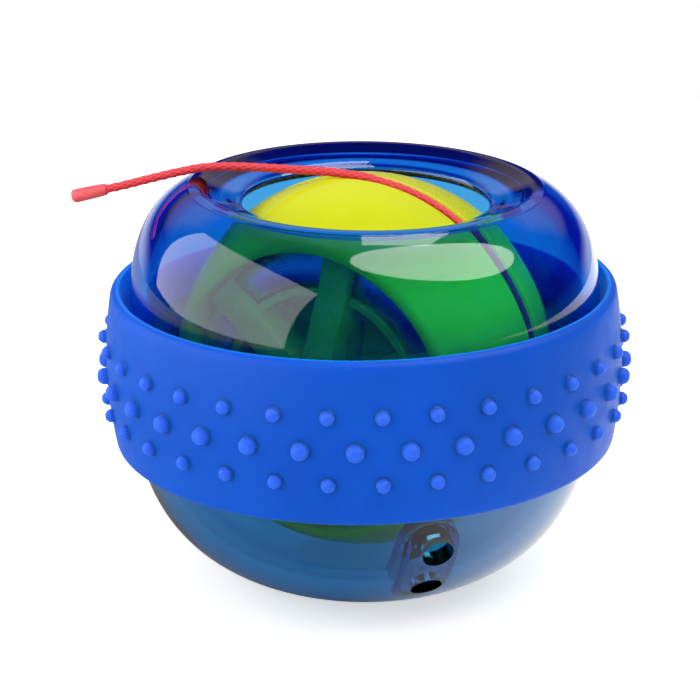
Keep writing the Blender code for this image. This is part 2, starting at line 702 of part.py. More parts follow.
def tube(name, points, radius, resolution, finish, parent):
    curve = bpy.data.curves.new(name, "CURVE")
    curve.dimensions = "3D"
    curve.bevel_depth = radius * MM
    curve.bevel_resolution = resolution
    curve.use_fill_caps = True
    line = curve.splines.new("POLY")
    line.points.add(len(points) - 1)
    for spot, point in zip(line.points, points):
        spot.co = (*(point * MM), 1)
    curve.materials.append(finish)
    item = bpy.data.objects.new(name, curve)
    parts.objects.link(item)
    item.parent = parent
    return item


def sleeve(name, start, direction, length, radius, end_radius, finish):
    """A short turned plug whose axis leaves start along direction."""
    round_off = min(0.3, end_radius * 0.4)
    outline = [(0, length), (end_radius - round_off, length), (end_radius, length - round_off),
               (radius, round_off), (radius - round_off, 0), (0, 0)]
    plug = turned(name, outline, finish, SMALL_STEPS, carrier, closed=False)
    plug.location = start * MM
    plug.rotation_euler = direction.to_track_quat("Z", "Y").to_euler()
    return plug


def starter_cord(cord_finish, cap_finish):
    winding = winding_points()
    report_least_gap(winding)
    tube("cord_winding", winding, cord_radius, 1, cord_finish, carrier)
    onward = (winding[-1] - winding[-2]).normalized()
    lift_off = winding[-1] + onward * SEAT_GAP
    knots = [lift_off, lift_off + onward * CORD_DIAMETER] + [Vector(point) for point in CORD_ROUTE]
    free = smooth_route(knots, 2.4 * CORD_DIAMETER)
    tube("cord_free", free, cord_radius, 2, cord_finish, carrier)
    outward = (free[-1] - free[-2]).normalized()
    sleeve("cord_cap", free[-1] + outward * SEAT_GAP, outward, CAP_LENGTH, CAP_RADIUS - CAP_TAPER,
           CAP_RADIUS, cap_finish)
    cord_tip(cap_finish)
    total = sum((q - p).length for p, q in zip(winding, winding[1:]))
    total += sum((q - p).length for p, q in zip(free, free[1:]))
    print(f"starter cord: {total:.0f} mm of cord between its tip and its cap")


def build():
    upper_clear = material("clear deep blue plastic", (0.02, 0.10, 0.62), 0.05, alpha=0.5)
    lower_clear = material("clear pale blue plastic", (0.22, 0.45, 0.85), 0.05, alpha=0.5)
    silicone = material("blue silicone", (0.02, 0.10, 0.60), 0.45)
    yellow = material("yellow gloss plastic", (0.80, 0.82, 0.02), 0.25)
    steel = material("turned steel", (0.62, 0.64, 0.66), 0.25, metallic=1.0)
    nylon = material("white nylon", (0.82, 0.82, 0.80), 0.5)
    race = material("black acetal", (0.03, 0.03, 0.035), 0.4)
    braid = material("red braid", (0.75, 0.03, 0.04), 0.7)
    red_cap = material("red plastic cap", (0.65, 0.10, 0.09), 0.4)

    upper_shell(upper_clear)
    lower_shell(lower_clear)
    grip_band(silicone)
    race_ring("race_ring_upper", 1, race)
    race_ring("race_ring_lower", -1, race)
    carrier_ring(nylon)
    for label, side in (("front", 1), ("back", -1)):
        rotor_half("rotor_half_" + label, side, yellow)
        weight_ring("weight_ring_" + label, side, steel)
        hub_cap("hub_cap_" + label, side, yellow)
        axle_collar("axle_collar_" + label, side, steel)
    axle(steel)
    starter_cord(braid, red_cap)
    finish_meshes()


clear_scene()
parts = new_collection("gyroscopic wrist ball")
cutters = new_collection("cutters")
housing = pivot("housing", centre * MM)
carrier = pivot("carrier_precession", centre * MM)
rotor = pivot("rotor_spin", centre * MM, (pi / 2, 0, -AXLE_BEARING))
build()
print(f"equator {equator:.2f} mm, housing radius {housing_radius:.2f} mm, band radius {band_outer:.2f} mm")
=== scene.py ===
# Gyroscopic wrist ball: finished pieces, materials, light and camera
# Lengths are millimetres, heights count from the ball's equator, mm turns them into metres

import bpy
import bmesh
from math import acos, asin, cos, pi, radians, sin, sqrt, tan
from mathutils import Matrix, Vector


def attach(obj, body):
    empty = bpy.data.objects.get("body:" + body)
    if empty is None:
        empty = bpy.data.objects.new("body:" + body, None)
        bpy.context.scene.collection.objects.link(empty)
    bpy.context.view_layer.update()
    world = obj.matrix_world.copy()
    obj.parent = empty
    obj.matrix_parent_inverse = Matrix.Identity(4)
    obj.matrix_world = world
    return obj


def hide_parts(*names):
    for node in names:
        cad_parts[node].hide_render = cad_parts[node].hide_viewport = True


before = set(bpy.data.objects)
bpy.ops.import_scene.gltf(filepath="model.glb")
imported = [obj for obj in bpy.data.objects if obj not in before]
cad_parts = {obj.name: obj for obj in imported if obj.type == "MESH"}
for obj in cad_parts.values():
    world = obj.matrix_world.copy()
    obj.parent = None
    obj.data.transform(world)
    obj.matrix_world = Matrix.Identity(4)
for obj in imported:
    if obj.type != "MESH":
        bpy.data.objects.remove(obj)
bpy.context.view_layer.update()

mm = 0.001
mergeDistance = 0.002 * mm
ball = {
    "equator": 30.7436,  # height of the widest line over the table
    "housingRadius": 32.5,
    "wall": 2.4,
    "seatGap": 0.3,
    "axleBearing": -27.0,  # the axle points this many degrees from the front, left is minus
}
seatGap = ball["seatGap"]
halfGap = seatGap / 2
housing = ball["housingRadius"]
middle = Vector((0, 0, ball["equator"] * mm))
upright = Matrix.Translation(middle)
turnedToAxle = upright @ Matrix.Rotation(radians(ball["axleBearing"]), 4, "Z")
alongAxle = turnedToAxle @ Matrix.Rotation(pi / 2, 4, "X")
bothSides = (("front", alongAxle), ("back", alongAxle @ Matrix.Rotation(pi, 4, "X")))


# Mesh helpers

def meshFrom(name, shape):
    mesh = bpy.data.meshes.new(name)
    shape.to_mesh(mesh)
    shape.free()
    return mesh


def addObject(name, data):
    made = bpy.data.objects.new(name, data)
    bpy.context.scene.collection.objects.link(made)
    return made


def placed(name, shape, matrix):
    # an object with its faces turned outward, moved to its place in the ball
    bmesh.ops.recalc_face_normals(shape, faces=shape.faces)
    bmesh.ops.transform(shape, matrix=matrix, verts=shape.verts)
    return addObject(name, meshFrom(name, shape))


def builtMesh(made):
    # the mesh that a curve or a modifier makes
    bpy.context.view_layer.update()
    graph = bpy.context.evaluated_depsgraph_get()
    return bpy.data.meshes.new_from_object(made.evaluated_get(graph))


def pieceFrom(name, shape, matrix, finish, body, crease, stands, tools=()):
    # merge, put in place, cut and add with its tools, shade and hang on its body
    bmesh.ops.remove_doubles(shape, verts=shape.verts, dist=mergeDistance)
    piece = placed(name, shape, matrix)
    for tool, operation in tools:
        combine(piece, tool, operation)
    return dress(piece, finish, body, crease, stands)


def dress(piece, finish, body, crease, stands):
    # the piece's finish and shading, its body and the CAD nodes that it stands for
    mesh = piece.data
    mesh.materials.clear()
    mesh.materials.append(finish)
    mesh.shade_smooth()
    mesh.set_sharp_from_angle(angle=radians(crease))
    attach(piece, body)
    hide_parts(*stands)
    return piece


def spinProfile(shape, corners, steps, closed=True, segments=4):
    # corners are radius, height and, where the corner is round, the length of its rounding
    spots = [shape.verts.new((corner[0] * mm, 0, corner[1] * mm)) for corner in corners]
    ends = spots[1:] + spots[:1] if closed else spots[1:]
    for a, b in zip(spots, ends):
        shape.edges.new((a, b))
    for spot, corner in zip(spots, corners):
        if len(corner) > 2 and corner[2] > 0:
            bmesh.ops.bevel(shape, geom=[spot], offset=corner[2] * mm, offset_type="OFFSET",
                            segments=segments, profile=0.5, affect="VERTICES", material=-1)
    line = shape.verts[:] + shape.edges[:]
    bmesh.ops.spin(shape, geom=line, axis=(0, 0, 1), cent=(0, 0, 0), angle=2 * pi, steps=steps,
                   use_merge=True)


def turned(name, corners, steps, matrix, finish, body, slot, stands, crease=30, tools=(), **spin):
    shape = bmesh.new()
    spinProfile(shape, corners, steps, **spin)
    return pieceFrom(name, shape, matrix, finish, body, crease, stands, tools)


def facingOut(across, up, out, spot):
    # a place whose axes point across, up and out
    place = Matrix((across, up, out)).transposed().to_4x4()
    place.translation = spot
    return place


def smoothLine(knots, steps):
    # a Catmull-Rom curve through the knots
    knots = [Vector(knot) for knot in knots]
    ends = [2 * knots[0] - knots[1]] + knots + [2 * knots[-1] - knots[-2]]
    line = []
    for a, b, c, d in zip(ends, ends[1:], ends[2:], ends[3:]):
        for k in range(steps):
            t = k / steps
            line.append(0.5 * (2 * b + (c - a) * t + (2 * a - 5 * b + 4 * c - d) * t ** 2
                               + (3 * b - a - 3 * c + d) * t ** 3))
    return line + [knots[-1]]


def spread(start, end, steps):
    return [start + (end - start) * k / steps for k in range(steps + 1)]


def shellCurve(radius, reach, fullness, start, end, steps):
    # the superellipse side of a shell, from one radius to another
    first = acos((start / radius) ** (fullness / 2))
    last = acos((end / radius) ** (fullness / 2))
    return [(radius * cos(turn) ** (2 / fullness), reach * sin(turn) ** (2 / fullness))
            for turn in spread(first, last, steps)]


def thicken(shape, faces, way):
    # turn flat faces into a block
    raised = bmesh.ops.extrude_face_region(shape, geom=faces)
    moved = [item for item in raised["geom"] if isinstance(item, bmesh.types.BMVert)]
    bmesh.ops.translate(shape, verts=moved, vec=way)


def combine(piece, tool, operation):
    # a Boolean, after which its tool is gone
    step = piece.modifiers.new("Combine", "BOOLEAN")
    step.operation = operation
    step.solver = "EXACT"
    step.object = tool
    result = builtMesh(piece)
    piece.modifiers.clear()
    piece.data = result
    bpy.data.objects.remove(tool)


# Material helpers

def newFinish(name):
    finish = bpy.data.materials.new(name)
    finish.use_nodes = True
    return finish, finish.node_tree, finish.node_tree.nodes["Principled BSDF"]


def objectCoords(tree, turnedBy=None):
    coords = tree.nodes.new("ShaderNodeTexCoord")
    if turnedBy is None:
        return coords.outputs["Object"]
    mapping = tree.nodes.new("ShaderNodeMapping")
    mapping.vector_type = "TEXTURE"
    mapping.inputs["Location"].default_value = turnedBy.to_translation()
    mapping.inputs["Rotation"].default_value = turnedBy.to_euler()
    feed(coords.outputs["Object"], mapping.inputs["Vector"])
    return mapping.outputs["Vector"]


def noise(tree, coords, scale, detail=2.0):
    made = tree.nodes.new("ShaderNodeTexNoise")
    feed(scale, made.inputs["Scale"])
    feed(detail, made.inputs["Detail"])
    feed(coords, made.inputs["Vector"])
    return made.outputs["Fac"]


def colourRamp(tree, factor, colours, edges=(0.35, 0.65)):
    # a colour at each edge
    ramp = tree.nodes.new("ShaderNodeValToRGB")
    feed(factor, ramp.inputs["Fac"])
    stops = ramp.color_ramp.elements
    for number, (edge, colour) in enumerate(zip(edges, colours)):
        stop = stops[number] if number < 2 else stops.new(edge)
        stop.position = edge
        stop.color = (*colour, 1)
    return ramp.outputs["Color"]


def ease(tree, value, *limits, kind="SMOOTHSTEP"):
    # the limits are from low, from high, to low and to high
    made = tree.nodes.new("ShaderNodeMapRange")
    made.interpolation_type = kind
    for name, limit in zip(("From Min", "From Max", "To Min", "To Max"), limits):
        feed(limit, made.inputs[name])
    feed(value, made.inputs["Value"])
    return made.outputs["Result"]


def remap(tree, factor, low, high):
    # a noise keeps mostly between 0.3 and 0.7
    return ease(tree, factor, 0.3, 0.7, low, high, kind="LINEAR")


def setSockets(shader, values):
    for socket, value in values.items():
        shader.inputs[socket].default_value = value


def feed(value, socket):
    # a number or a colour is set on the socket, and anything else is linked to it
    if isinstance(value, float):
        socket.default_value = value
    elif isinstance(value, tuple):
        socket.default_value = (*value, 1)
    else:
        socket.id_data.links.new(value, socket)


def calculate(tree, operation, first, second):
    made = tree.nodes.new("ShaderNodeMath")
    made.operation = operation
    feed(first, made.inputs[0])
    feed(second, made.inputs[1])
    return made.outputs["Value"]


def mixColour(tree, factor, first, second, blend="MIX"):
    made = tree.nodes.new("ShaderNodeMix")
    made.data_type = "RGBA"
    made.blend_type = blend
    for number, value in ((0, factor), (6, first), (7, second)):
        feed(value, made.inputs[number])
    return made.outputs[2]


def mixFloat(tree, factor, first, second):
    made = tree.nodes.new("ShaderNodeMix")
    for number, value in ((0, factor), (2, first), (3, second)):
        feed(value, made.inputs[number])
    return made.outputs[0]


def bump(tree, height, distance, under=None):
    made = tree.nodes.new("ShaderNodeBump")
    feed(distance * mm, made.inputs["Distance"])
    feed(height, made.inputs["Height"])
    if under is not None:
        feed(under, made.inputs["Normal"])
    return made.outputs["Normal"]


def mouldedFinish(name, look):
    # colour drifts a little, gloss varies and a fine grain breaks the highlights
    finish, tree, shader = newFinish(name)
    coords = objectCoords(tree)
    drift = noise(tree, coords, look["driftScale"])
    feed(colourRamp(tree, drift, (look["shade"], look["colour"])), shader.inputs["Base Color"])
    gloss = noise(tree, coords, look["glossScale"], 3.0)
    feed(remap(tree, gloss, *look["roughness"]), shader.inputs["Roughness"])
    grain = noise(tree, coords, look["grainScale"], look.get("grainDetail", 3.0))
    feed(bump(tree, grain, look["grainDepth"]), shader.inputs["Normal"])
    setSockets(shader, look.get("sockets", {}))
    return finish


bpy.context.scene.view_settings.view_transform = "Standard"


# Camera

cameraView = {
    "elevation": 19.35,
    "distance": 342.0,
    "lens": 126.2,
    "sensor": 36,
    "aimRight": -1.98,  # the aim's offset from the ball's middle
    "aimUp": 1.21,
    "roll": -0.48,
}
tilt = radians(cameraView["elevation"])
toCamera = Vector((0, -cos(tilt), sin(tilt)))
viewUp = Vector((0, sin(tilt), cos(tilt)))
cameraData = bpy.data.cameras.new("photoCamera")
cameraData.sensor_width = cameraView["sensor"]
cameraData.lens = cameraView["lens"]
camera = addObject("photoCamera", cameraData)
camera.location = middle + toCamera * cameraView["distance"] * mm
aim = middle + (Vector((1, 0, 0)) * cameraView["aimRight"] + viewUp * cameraView["aimUp"]) * mm
facing = (aim - camera.location).to_track_quat("-Z", "Y").to_matrix()
camera.rotation_euler = (facing @ Matrix.Rotation(-radians(cameraView["roll"]), 3, "Z")).to_euler()
bpy.context.scene.camera = camera
print("camera set")


# Starter cord: wound in the rotor's groove, then over the rotor, across the lip and past the shell

cord = {
    "diameter": 1.2,
    "turns": 2.6,
    "pitch": 1.65,
    "outerTurn": 25.9,  # radius of the last turn
    "leavesAt": 84.0,  # degrees round the groove where the cord lifts off
    "stepsPerTurn": 72,
    "dipBend": 2.4,  # radius on which the inner end dips to its start hole
    "dipSlant": 35.0,
    "dipSteps": 6,
    "smoothing": 12,  # steps between two points of the route
    "ringEvery": 0.12,  # spacing of the tube's rings
    "sides": 24,
    "grainsAround": 6,  # raised grains of the braid round the cord
    "braidPitch": 1.4,  # length in which the grains repeat, in two staggered rows
    "grainRise": 0.05,
    "grainLevel": 0.4,  # the height in a grain that lies on the cord's surface
    # painted shade in the gaps between the braid's grains
    "gapPaintedShade": (0.55, 0.002, 0.008),
    "strandColour": (1.0, 0.03, 0.042),
    "gapToStrand": (-0.9, 0.5),
    "fuzz": (0.93, 0.88, 0.88),
    "fibreScale": 3.0,
    "fibreStretch": 4,
    "fibreDepth": 0.05,
    "sockets": {"Roughness": 0.62, "Sheen Weight": 0.2, "Sheen Roughness": 0.4},
    "route": [(-1.9, 1.0, 26.2), (-4.8, 2.15, 26.25), (-8.6, 3.05, 26.25), (-13.0, 3.5, 26.35),
              (-17.8, 3.6, 26.5), (-22.2, 3.6, 26.35), (-26.0, 3.8, 25.55), (-29.8, 4.2, 24.5),
              (-33.2, 4.55, 23.5), (-36.2, 4.85, 22.7)],
    "pathEvery": 6,  # rings between two points of the declared path
    "capLength": 4.5,
    "capRadius": 0.95,
    "capOverlap": 0.35,  # how far the cap reaches back over the cord's end
    "capGrip": [(0.18, 0, 0.12), (0.1, 0.5, 0.3), (0.02, 2.4, 1.0)],  # slimmer by, at, rounding
    "capEdge": 0.4,
    "capDome": 0.25,
}


def groovePoint(x, y):
    # a point in the plane of the rotor's groove
    bearing = radians(-ball["axleBearing"])
    return Vector((x * cos(bearing), -x * sin(bearing), y))


def cordLine():
    line = []
    first = radians(cord["leavesAt"] - 360 * cord["turns"])
    innerTurn = cord["outerTurn"] - cord["pitch"] * cord["turns"]
    for turn in spread(radians(cord["dipSlant"]), 0, cord["dipSteps"])[:-1]:
        back = cord["dipBend"] * sin(turn)
        down = cord["dipBend"] * (1 - cos(turn))
        line.append(groovePoint((innerTurn - down) * cos(first) + back * sin(first),
                                (innerTurn - down) * sin(first) - back * cos(first)))
    steps = round(cord["turns"] * cord["stepsPerTurn"])
    for left in spread(cord["turns"], 0, steps):
        turn = radians(cord["leavesAt"]) - 2 * pi * left
        radius = cord["outerTurn"] - cord["pitch"] * left
        line.append(groovePoint(radius * cos(turn), radius * sin(turn)))
    onward = (line[-1] - line[-2]).normalized()
    liftOff = line[-1] + onward * cord["diameter"]
    knots = [liftOff, liftOff + onward * cord["diameter"]] + cord["route"]
    return line + smoothLine(knots, cord["smoothing"])


def evenly(line, spacing):
    # points at an even spacing along a line, and its length
    length = sum((b - a).length for a, b in zip(line, line[1:]))
    count = round(length / spacing)
    points = [line[0]]
    walked = 0.0
    target = length / count
    for a, b in zip(line, line[1:]):
        stretch = (b - a).length
        while walked + stretch >= target * len(points) and len(points) < count:
            points.append(a.lerp(b, (target * len(points) - walked) / stretch))
        walked += stretch
    return points + [line[-1]], length


def braidedTube(name, points):
    # a curve's tube, then the grains of the braid raised from its surface
    sides = cord["sides"]
    curve = bpy.data.curves.new(name, "CURVE")
    curve.dimensions = "3D"
    curve.bevel_depth = cord["diameter"] / 2 * mm
    curve.bevel_resolution = (sides - 4) // 2
    curve.use_fill_caps = True
    line = curve.splines.new("POLY")
    line.points.add(len(points) - 1)
    for spot, point in zip(line.points, points):
        spot.co = (*(middle + point * mm), 1)
    rope = addObject(name + "Line", curve)
    mesh = builtMesh(rope)
    bpy.data.objects.remove(rope)
    mesh.name = name
    grains = mesh.attributes.new("grain", "FLOAT", "POINT")
    rings = len(points)
    along = {}
    for vert in mesh.vertices:
        # the two caps' corners come first in the mesh, the far end's before the near end's
        number = vert.index - 2 * sides
        if number >= 0:
            ring, side = divmod(number, sides)
        else:
            ring = rings - 1 if vert.index < sides else 0
            side = vert.index % sides
        along[vert.index] = (ring, side)
        centrePoint = middle + points[ring] * mm
        walk = 2 * pi * ring * cord["ringEvery"] / cord["braidPitch"]
        rise = cos(cord["grainsAround"] * 2 * pi * side / sides) * cos(walk)
        grains.data[vert.index].value = rise
        away = (vert.co - centrePoint).normalized()
        lift = cord["grainRise"] * (rise - cord["grainLevel"])
        vert.co = centrePoint + away * (cord["diameter"] / 2 + lift) * mm
    uvs = mesh.uv_layers[0]
    uvs.name = "braid"
    for face in mesh.polygons:
        sidesHere = [along[mesh.loops[k].vertex_index][1] for k in face.loop_indices]
        wraps = max(sidesHere) - min(sidesHere) > 1
        for k, side in zip(face.loop_indices, sidesHere):
            ring = along[mesh.loops[k].vertex_index][0]
            across = (side + sides if wraps and side < sides / 2 else side) / sides
            uvs.data[k].uv = (across, ring * cord["ringEvery"] / cord["braidPitch"])
    shape = bmesh.new()
    shape.from_mesh(mesh)
    bmesh.ops.remove_doubles(shape, verts=shape.verts, dist=mergeDistance)
    shape.to_mesh(mesh)
    shape.free()
    return addObject(name, mesh)


def braidFinish():
    finish, tree, shader = newFinish("redBraid")
    uv = tree.nodes.new("ShaderNodeUVMap")
    uv.uv_map = "braid"
    scaled = tree.nodes.new("ShaderNodeMapping")
    scaled.inputs["Scale"].default_value = (cord["grainsAround"] * 2, cord["fibreStretch"], 1)
    feed(uv.outputs["UV"], scaled.inputs["Vector"])
    fibres = noise(tree, scaled.outputs["Vector"], cord["fibreScale"], 3.0)
    grain = tree.nodes.new("ShaderNodeAttribute")
    grain.attribute_name = "grain"
    # the gaps between the grains are painted darker, as painted shade
    onStrand = ease(tree, grain.outputs["Fac"], *cord["gapToStrand"], 0.0, 1.0)
    weaveWithPaintedShade = colourRamp(tree, onStrand, (cord["gapPaintedShade"], cord["strandColour"]), (0.0, 1.0))
    fuzz = colourRamp(tree, fibres, (cord["fuzz"], (1, 1, 1)))
    both = mixColour(tree, 1.0, weaveWithPaintedShade, fuzz, "MULTIPLY")
    feed(both, shader.inputs["Base Color"])
    feed(bump(tree, fibres, cord["fibreDepth"]), shader.inputs["Normal"])
    setSockets(shader, cord["sockets"])
    return finish


cordPoints, cordLength = evenly(cordLine(), cord["ringEvery"])
starterCord = braidedTube("starterCord", cordPoints)
dress(starterCord, braidFinish(), "carrier", 80, ("cord_winding", "cord_free"))

cordPlastic = mouldedFinish("redMouldedPlastic", {
    "colour": (0.92, 0.10, 0.105),
    "shade": (0.82, 0.075, 0.08),
    "driftScale": 500.0,
    "glossScale": 700.0,
    "roughness": (0.38, 0.6),
    "grainScale": 1600.0,
    "grainDepth": 0.08,
})
capLine = cordPoints[-1] - cordPoints[-8]
capStart = middle + (cordPoints[-1] - capLine.normalized() * cord["capOverlap"]) * mm
capPlace = Matrix.Translation(capStart) @ capLine.to_track_quat("Z", "Y").to_matrix().to_4x4()
capEnd = cord["capLength"] + cord["capEdge"]
capCorners = [(0, 0)] + [(cord["capRadius"] - less, along, turn) for less, along, turn in cord["capGrip"]]
capCorners += [(cord["capRadius"], capEnd, cord["capEdge"]), (0, capEnd + cord["capDome"])]
cordCap = turned("cordCap", capCorners, 48, capPlace, cordPlastic, "carrier", "cord_plastic", ("cord_cap",),
                 crease=40, closed=False)
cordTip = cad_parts["cord_tip"].data
cordTip.materials.clear()
cordTip.materials.append(cordPlastic)
print("cord", round(cordLength, 1), "mm")


# Rotor

rotor = {
    "radius": 26.1,
    "rimHalfWidth": 16.2,
    "rimEdge": 1.1,
    "rimFlat": 0.7,  # share of its edge that is flat
    "rimTuck": 0.3,  # the round side starts this far in
    "webHalf": 4.0,
    "recessCorner": 0.8,
    "grooveHalf": 0.95,
    "grooveFloor": 20.51,
    "grooveLip": 0.35,
    "lipDepth": 0.42,
    "axleBore": 1.5,
    "boss": 2.8,
    "steps": 192,
    "curveSteps": 36,
    "ridgePitch": 0.75,
    "ridgesStart": 1.9,  # from the groove's middle
    "ridgesEnd": 6.4,
    "ridgeFades": (0.3, 0.5),  # fading widths at their start and end
    "ridgeFeet": (-1.0, 0.2),  # heights of the wave that get painted shade
    "ridgeDepth": 0.05,
    "ridgePaintedShade": (0.66, 0.60, 0.004),
    "rimRound": 0.25,
    "grooveRound": 0.2,
}
recessRadius = sqrt(rotor["radius"] ** 2 - rotor["rimHalfWidth"] ** 2) - rotor["rimEdge"]


def rotorCorners():
    # half the ball-shaped flywheel, turned about the axle from the groove's middle outward
    start = asin((rotor["rimHalfWidth"] - rotor["rimTuck"]) / rotor["radius"])
    end = asin((rotor["grooveHalf"] + rotor["grooveLip"]) / rotor["radius"])
    corners = [(recessRadius, rotor["rimHalfWidth"], rotor["rimRound"]),
               (recessRadius + rotor["rimEdge"] * rotor["rimFlat"], rotor["rimHalfWidth"])]
    radius = rotor["radius"]
    turns = spread(start, end, rotor["curveSteps"])
    corners += [(radius * cos(turn), radius * sin(turn)) for turn in turns]
    corners += [(radius - rotor["lipDepth"], rotor["grooveHalf"]),
                (rotor["grooveFloor"], rotor["grooveHalf"], rotor["grooveRound"]),
                (rotor["grooveFloor"], halfGap), (rotor["axleBore"], halfGap),
                (rotor["axleBore"], rotor["webHalf"]), (rotor["boss"], rotor["webHalf"]),
                (recessRadius, rotor["webHalf"], rotor["recessCorner"])]
    return corners


def addRidges(finish):
    # fine turned ridges beside the groove, on the back half, with painted shade on the ridges' feet
    tree = finish.node_tree
    parts = tree.nodes.new("ShaderNodeSeparateXYZ")
    feed(objectCoords(tree, alongAxle), parts.inputs["Vector"])
    along = calculate(tree, "DIVIDE", parts.outputs["Z"], mm)
    phase = calculate(tree, "MULTIPLY", along, 2 * pi / rotor["ridgePitch"])
    ridges = calculate(tree, "SINE", phase, 0.0)
    fadeStart, fadeEnd = rotor["ridgeFades"]
    near = ease(tree, along, -rotor["ridgesEnd"], fadeEnd - rotor["ridgesEnd"], 0.0, 1.0)
    far = ease(tree, along, -rotor["ridgesStart"] - fadeStart, -rotor["ridgesStart"], 1.0, 0.0)
    height = calculate(tree, "MULTIPLY", ridges, calculate(tree, "MULTIPLY", near, far))
    shader = tree.nodes["Principled BSDF"]
    grain = shader.inputs["Normal"].links[0].from_socket
    feed(bump(tree, height, rotor["ridgeDepth"], under=grain), shader.inputs["Normal"])
    shade = shader.inputs["Base Color"].links[0].from_socket
    # painted shade in the troughs between the ridges
    paintedShadeShare = ease(tree, height, *rotor["ridgeFeet"], 1.0, 0.0)
    feed(mixColour(tree, paintedShadeShare, shade, rotor["ridgePaintedShade"]), shader.inputs["Base Color"])


rotorFinish = mouldedFinish("yellowMouldedPlastic", {
    "colour": (0.70, 0.745, 0.006),
    "shade": (0.64, 0.70, 0.004),
    "driftScale": 60.0,
    "glossScale": 180.0,
    "roughness": (0.12, 0.24),
    "grainScale": 700.0,
    "grainDepth": 0.006,
    "sockets": {"Specular IOR Level": 0.08},
})
addRidges(rotorFinish)
for label, place in bothSides:
    turned("rotorHalf" + label.capitalize(), rotorCorners(), rotor["steps"], place, rotorFinish, "rotor",
           "rotor_plastic", ("rotor_half_" + label,))
print("rotor halves")


# Steel weight rings, spoked hub caps, axle and collars

hub = {
    "weightWidth": 4.5,
    "weightDepth": 8.0,
    "weightChamfer": 0.6,
    "skirt": 1.2,
    "depth": 8.4,
    "floor": 2.0,
    "bossRadius": 4.2,
    "bossReach": 15.4,
    "spokes": 6,
    "spokeBearing": 80.0,
    "spokeWidth": 4.2,
    "spokeDepth": 1.9,
    "spokeRise": 1.6,
    "spokeRoot": 0.8,  # how far a spoke reaches into the boss
    "spokeRound": 0.25,
    "edgeRound": 0.3,
    "floorRound": 0.5,
    "collarWall": 1.3,
    "collarSink": 3.0,
    "collarEnd": 26.5,
    "axleRadius": 1.2,
    "axleShoulder": 26.8,
    "axleTipRadius": 0.8,
    "axleEnd": 28.7,
    "axleRound": (0.25, 0.1),  # at the tips and at the shoulders
}
weightOuter = recessRadius - seatGap
weightInner = weightOuter - hub["weightWidth"]
capOuter = weightInner - seatGap
seatFloor = rotor["webHalf"] + seatGap


steelLook = {
    "shade": (0.52, 0.53, 0.56),
    "colour": (0.68, 0.69, 0.71),
    "driftScale": 140.0,
    "roughness": (0.2, 0.36),
    "ringScale": 900.0,
    "ringWaver": 0.4,
    "ringDepth": 0.01,
}


def steelFinish():
    # bare steel with the fine rings of a lathe round the axle
    finish, tree, shader = newFinish("turnedSteel")
    coords = objectCoords(tree, alongAxle)
    rings = tree.nodes.new("ShaderNodeTexWave")
    rings.wave_type = "RINGS"
    rings.rings_direction = "Z"
    feed(steelLook["ringScale"], rings.inputs["Scale"])
    feed(steelLook["ringWaver"], rings.inputs["Distortion"])
    feed(coords, rings.inputs["Vector"])
    drift = noise(tree, coords, steelLook["driftScale"], 3.0)
    tone = colourRamp(tree, drift, (steelLook["shade"], steelLook["colour"]))
    feed(tone, shader.inputs["Base Color"])
    feed(remap(tree, drift, *steelLook["roughness"]), shader.inputs["Roughness"])
    feed(bump(tree, rings.outputs["Fac"], steelLook["ringDepth"]), shader.inputs["Normal"])
    feed(1.0, shader.inputs["Metallic"])
    return finish


steel = steelFinish()
weightCorners = [(weightInner, seatFloor + hub["weightDepth"], hub["weightChamfer"]),
                 (weightOuter, seatFloor + hub["weightDepth"], hub["weightChamfer"]),
                 (weightOuter, seatFloor, rotor["recessCorner"]), (weightInner, seatFloor, 0.2)]
capTop = seatFloor + hub["depth"]
capFloor = seatFloor + hub["floor"]
capInner = capOuter - hub["skirt"]
bossTop = seatFloor + hub["bossReach"]
collarFoot = bossTop - hub["collarSink"]
sinkFloor = collarFoot - seatGap
collarOuter = rotor["axleBore"] + hub["collarWall"]
collarSeat = collarOuter + seatGap
hubCorners = [(capOuter, capTop, hub["edgeRound"]), (capOuter, seatFloor), (rotor["axleBore"], seatFloor),
              (rotor["axleBore"], sinkFloor), (collarSeat, sinkFloor), (collarSeat, bossTop),
              (hub["bossRadius"], bossTop, hub["floorRound"]),
              (hub["bossRadius"], capFloor, hub["floorRound"]),
              (capInner, capFloor, hub["floorRound"]), (capInner, capTop, hub["edgeRound"])]
collarCorners = [(collarOuter, hub["collarEnd"], hub["edgeRound"]), (collarOuter, collarFoot),
                 (rotor["axleBore"], collarFoot), (rotor["axleBore"], hub["collarEnd"])]


def spokeTool(number, matrix):
    # one spoke, from the boss over the steel ring to the recess wall
    shape = bmesh.new()
    floor = seatFloor + hub["floor"] / 2
    under = seatFloor + hub["weightDepth"] + seatGap
    over = under + hub["spokeDepth"]
    start = hub["bossRadius"] - hub["spokeRoot"]
    skirt = capOuter - hub["skirt"] / 2
    end = recessRadius - seatGap
    outline = [(start, floor), (skirt, floor), (skirt, under), (end, under), (end, over),
               (weightInner, over), (start, over + hub["spokeRise"])]
    half = hub["spokeWidth"] / 2
    face = shape.faces.new([shape.verts.new((x * mm, -half * mm, z * mm)) for x, z in outline])
    thicken(shape, [face], (0, 2 * half * mm, 0))
    edges = [edge for edge in shape.edges if edge.calc_length() > 2 * hub["spokeRound"] * mm]
    bmesh.ops.bevel(shape, geom=edges, offset=hub["spokeRound"] * mm, offset_type="OFFSET", segments=2,
                    profile=0.5, affect="EDGES", material=-1)
    bearing = radians(hub["spokeBearing"] + 360 * number / hub["spokes"])
    bmesh.ops.rotate(shape, verts=shape.verts, matrix=Matrix.Rotation(bearing, 3, "Z"))
    return placed("spokeTool", shape, matrix)
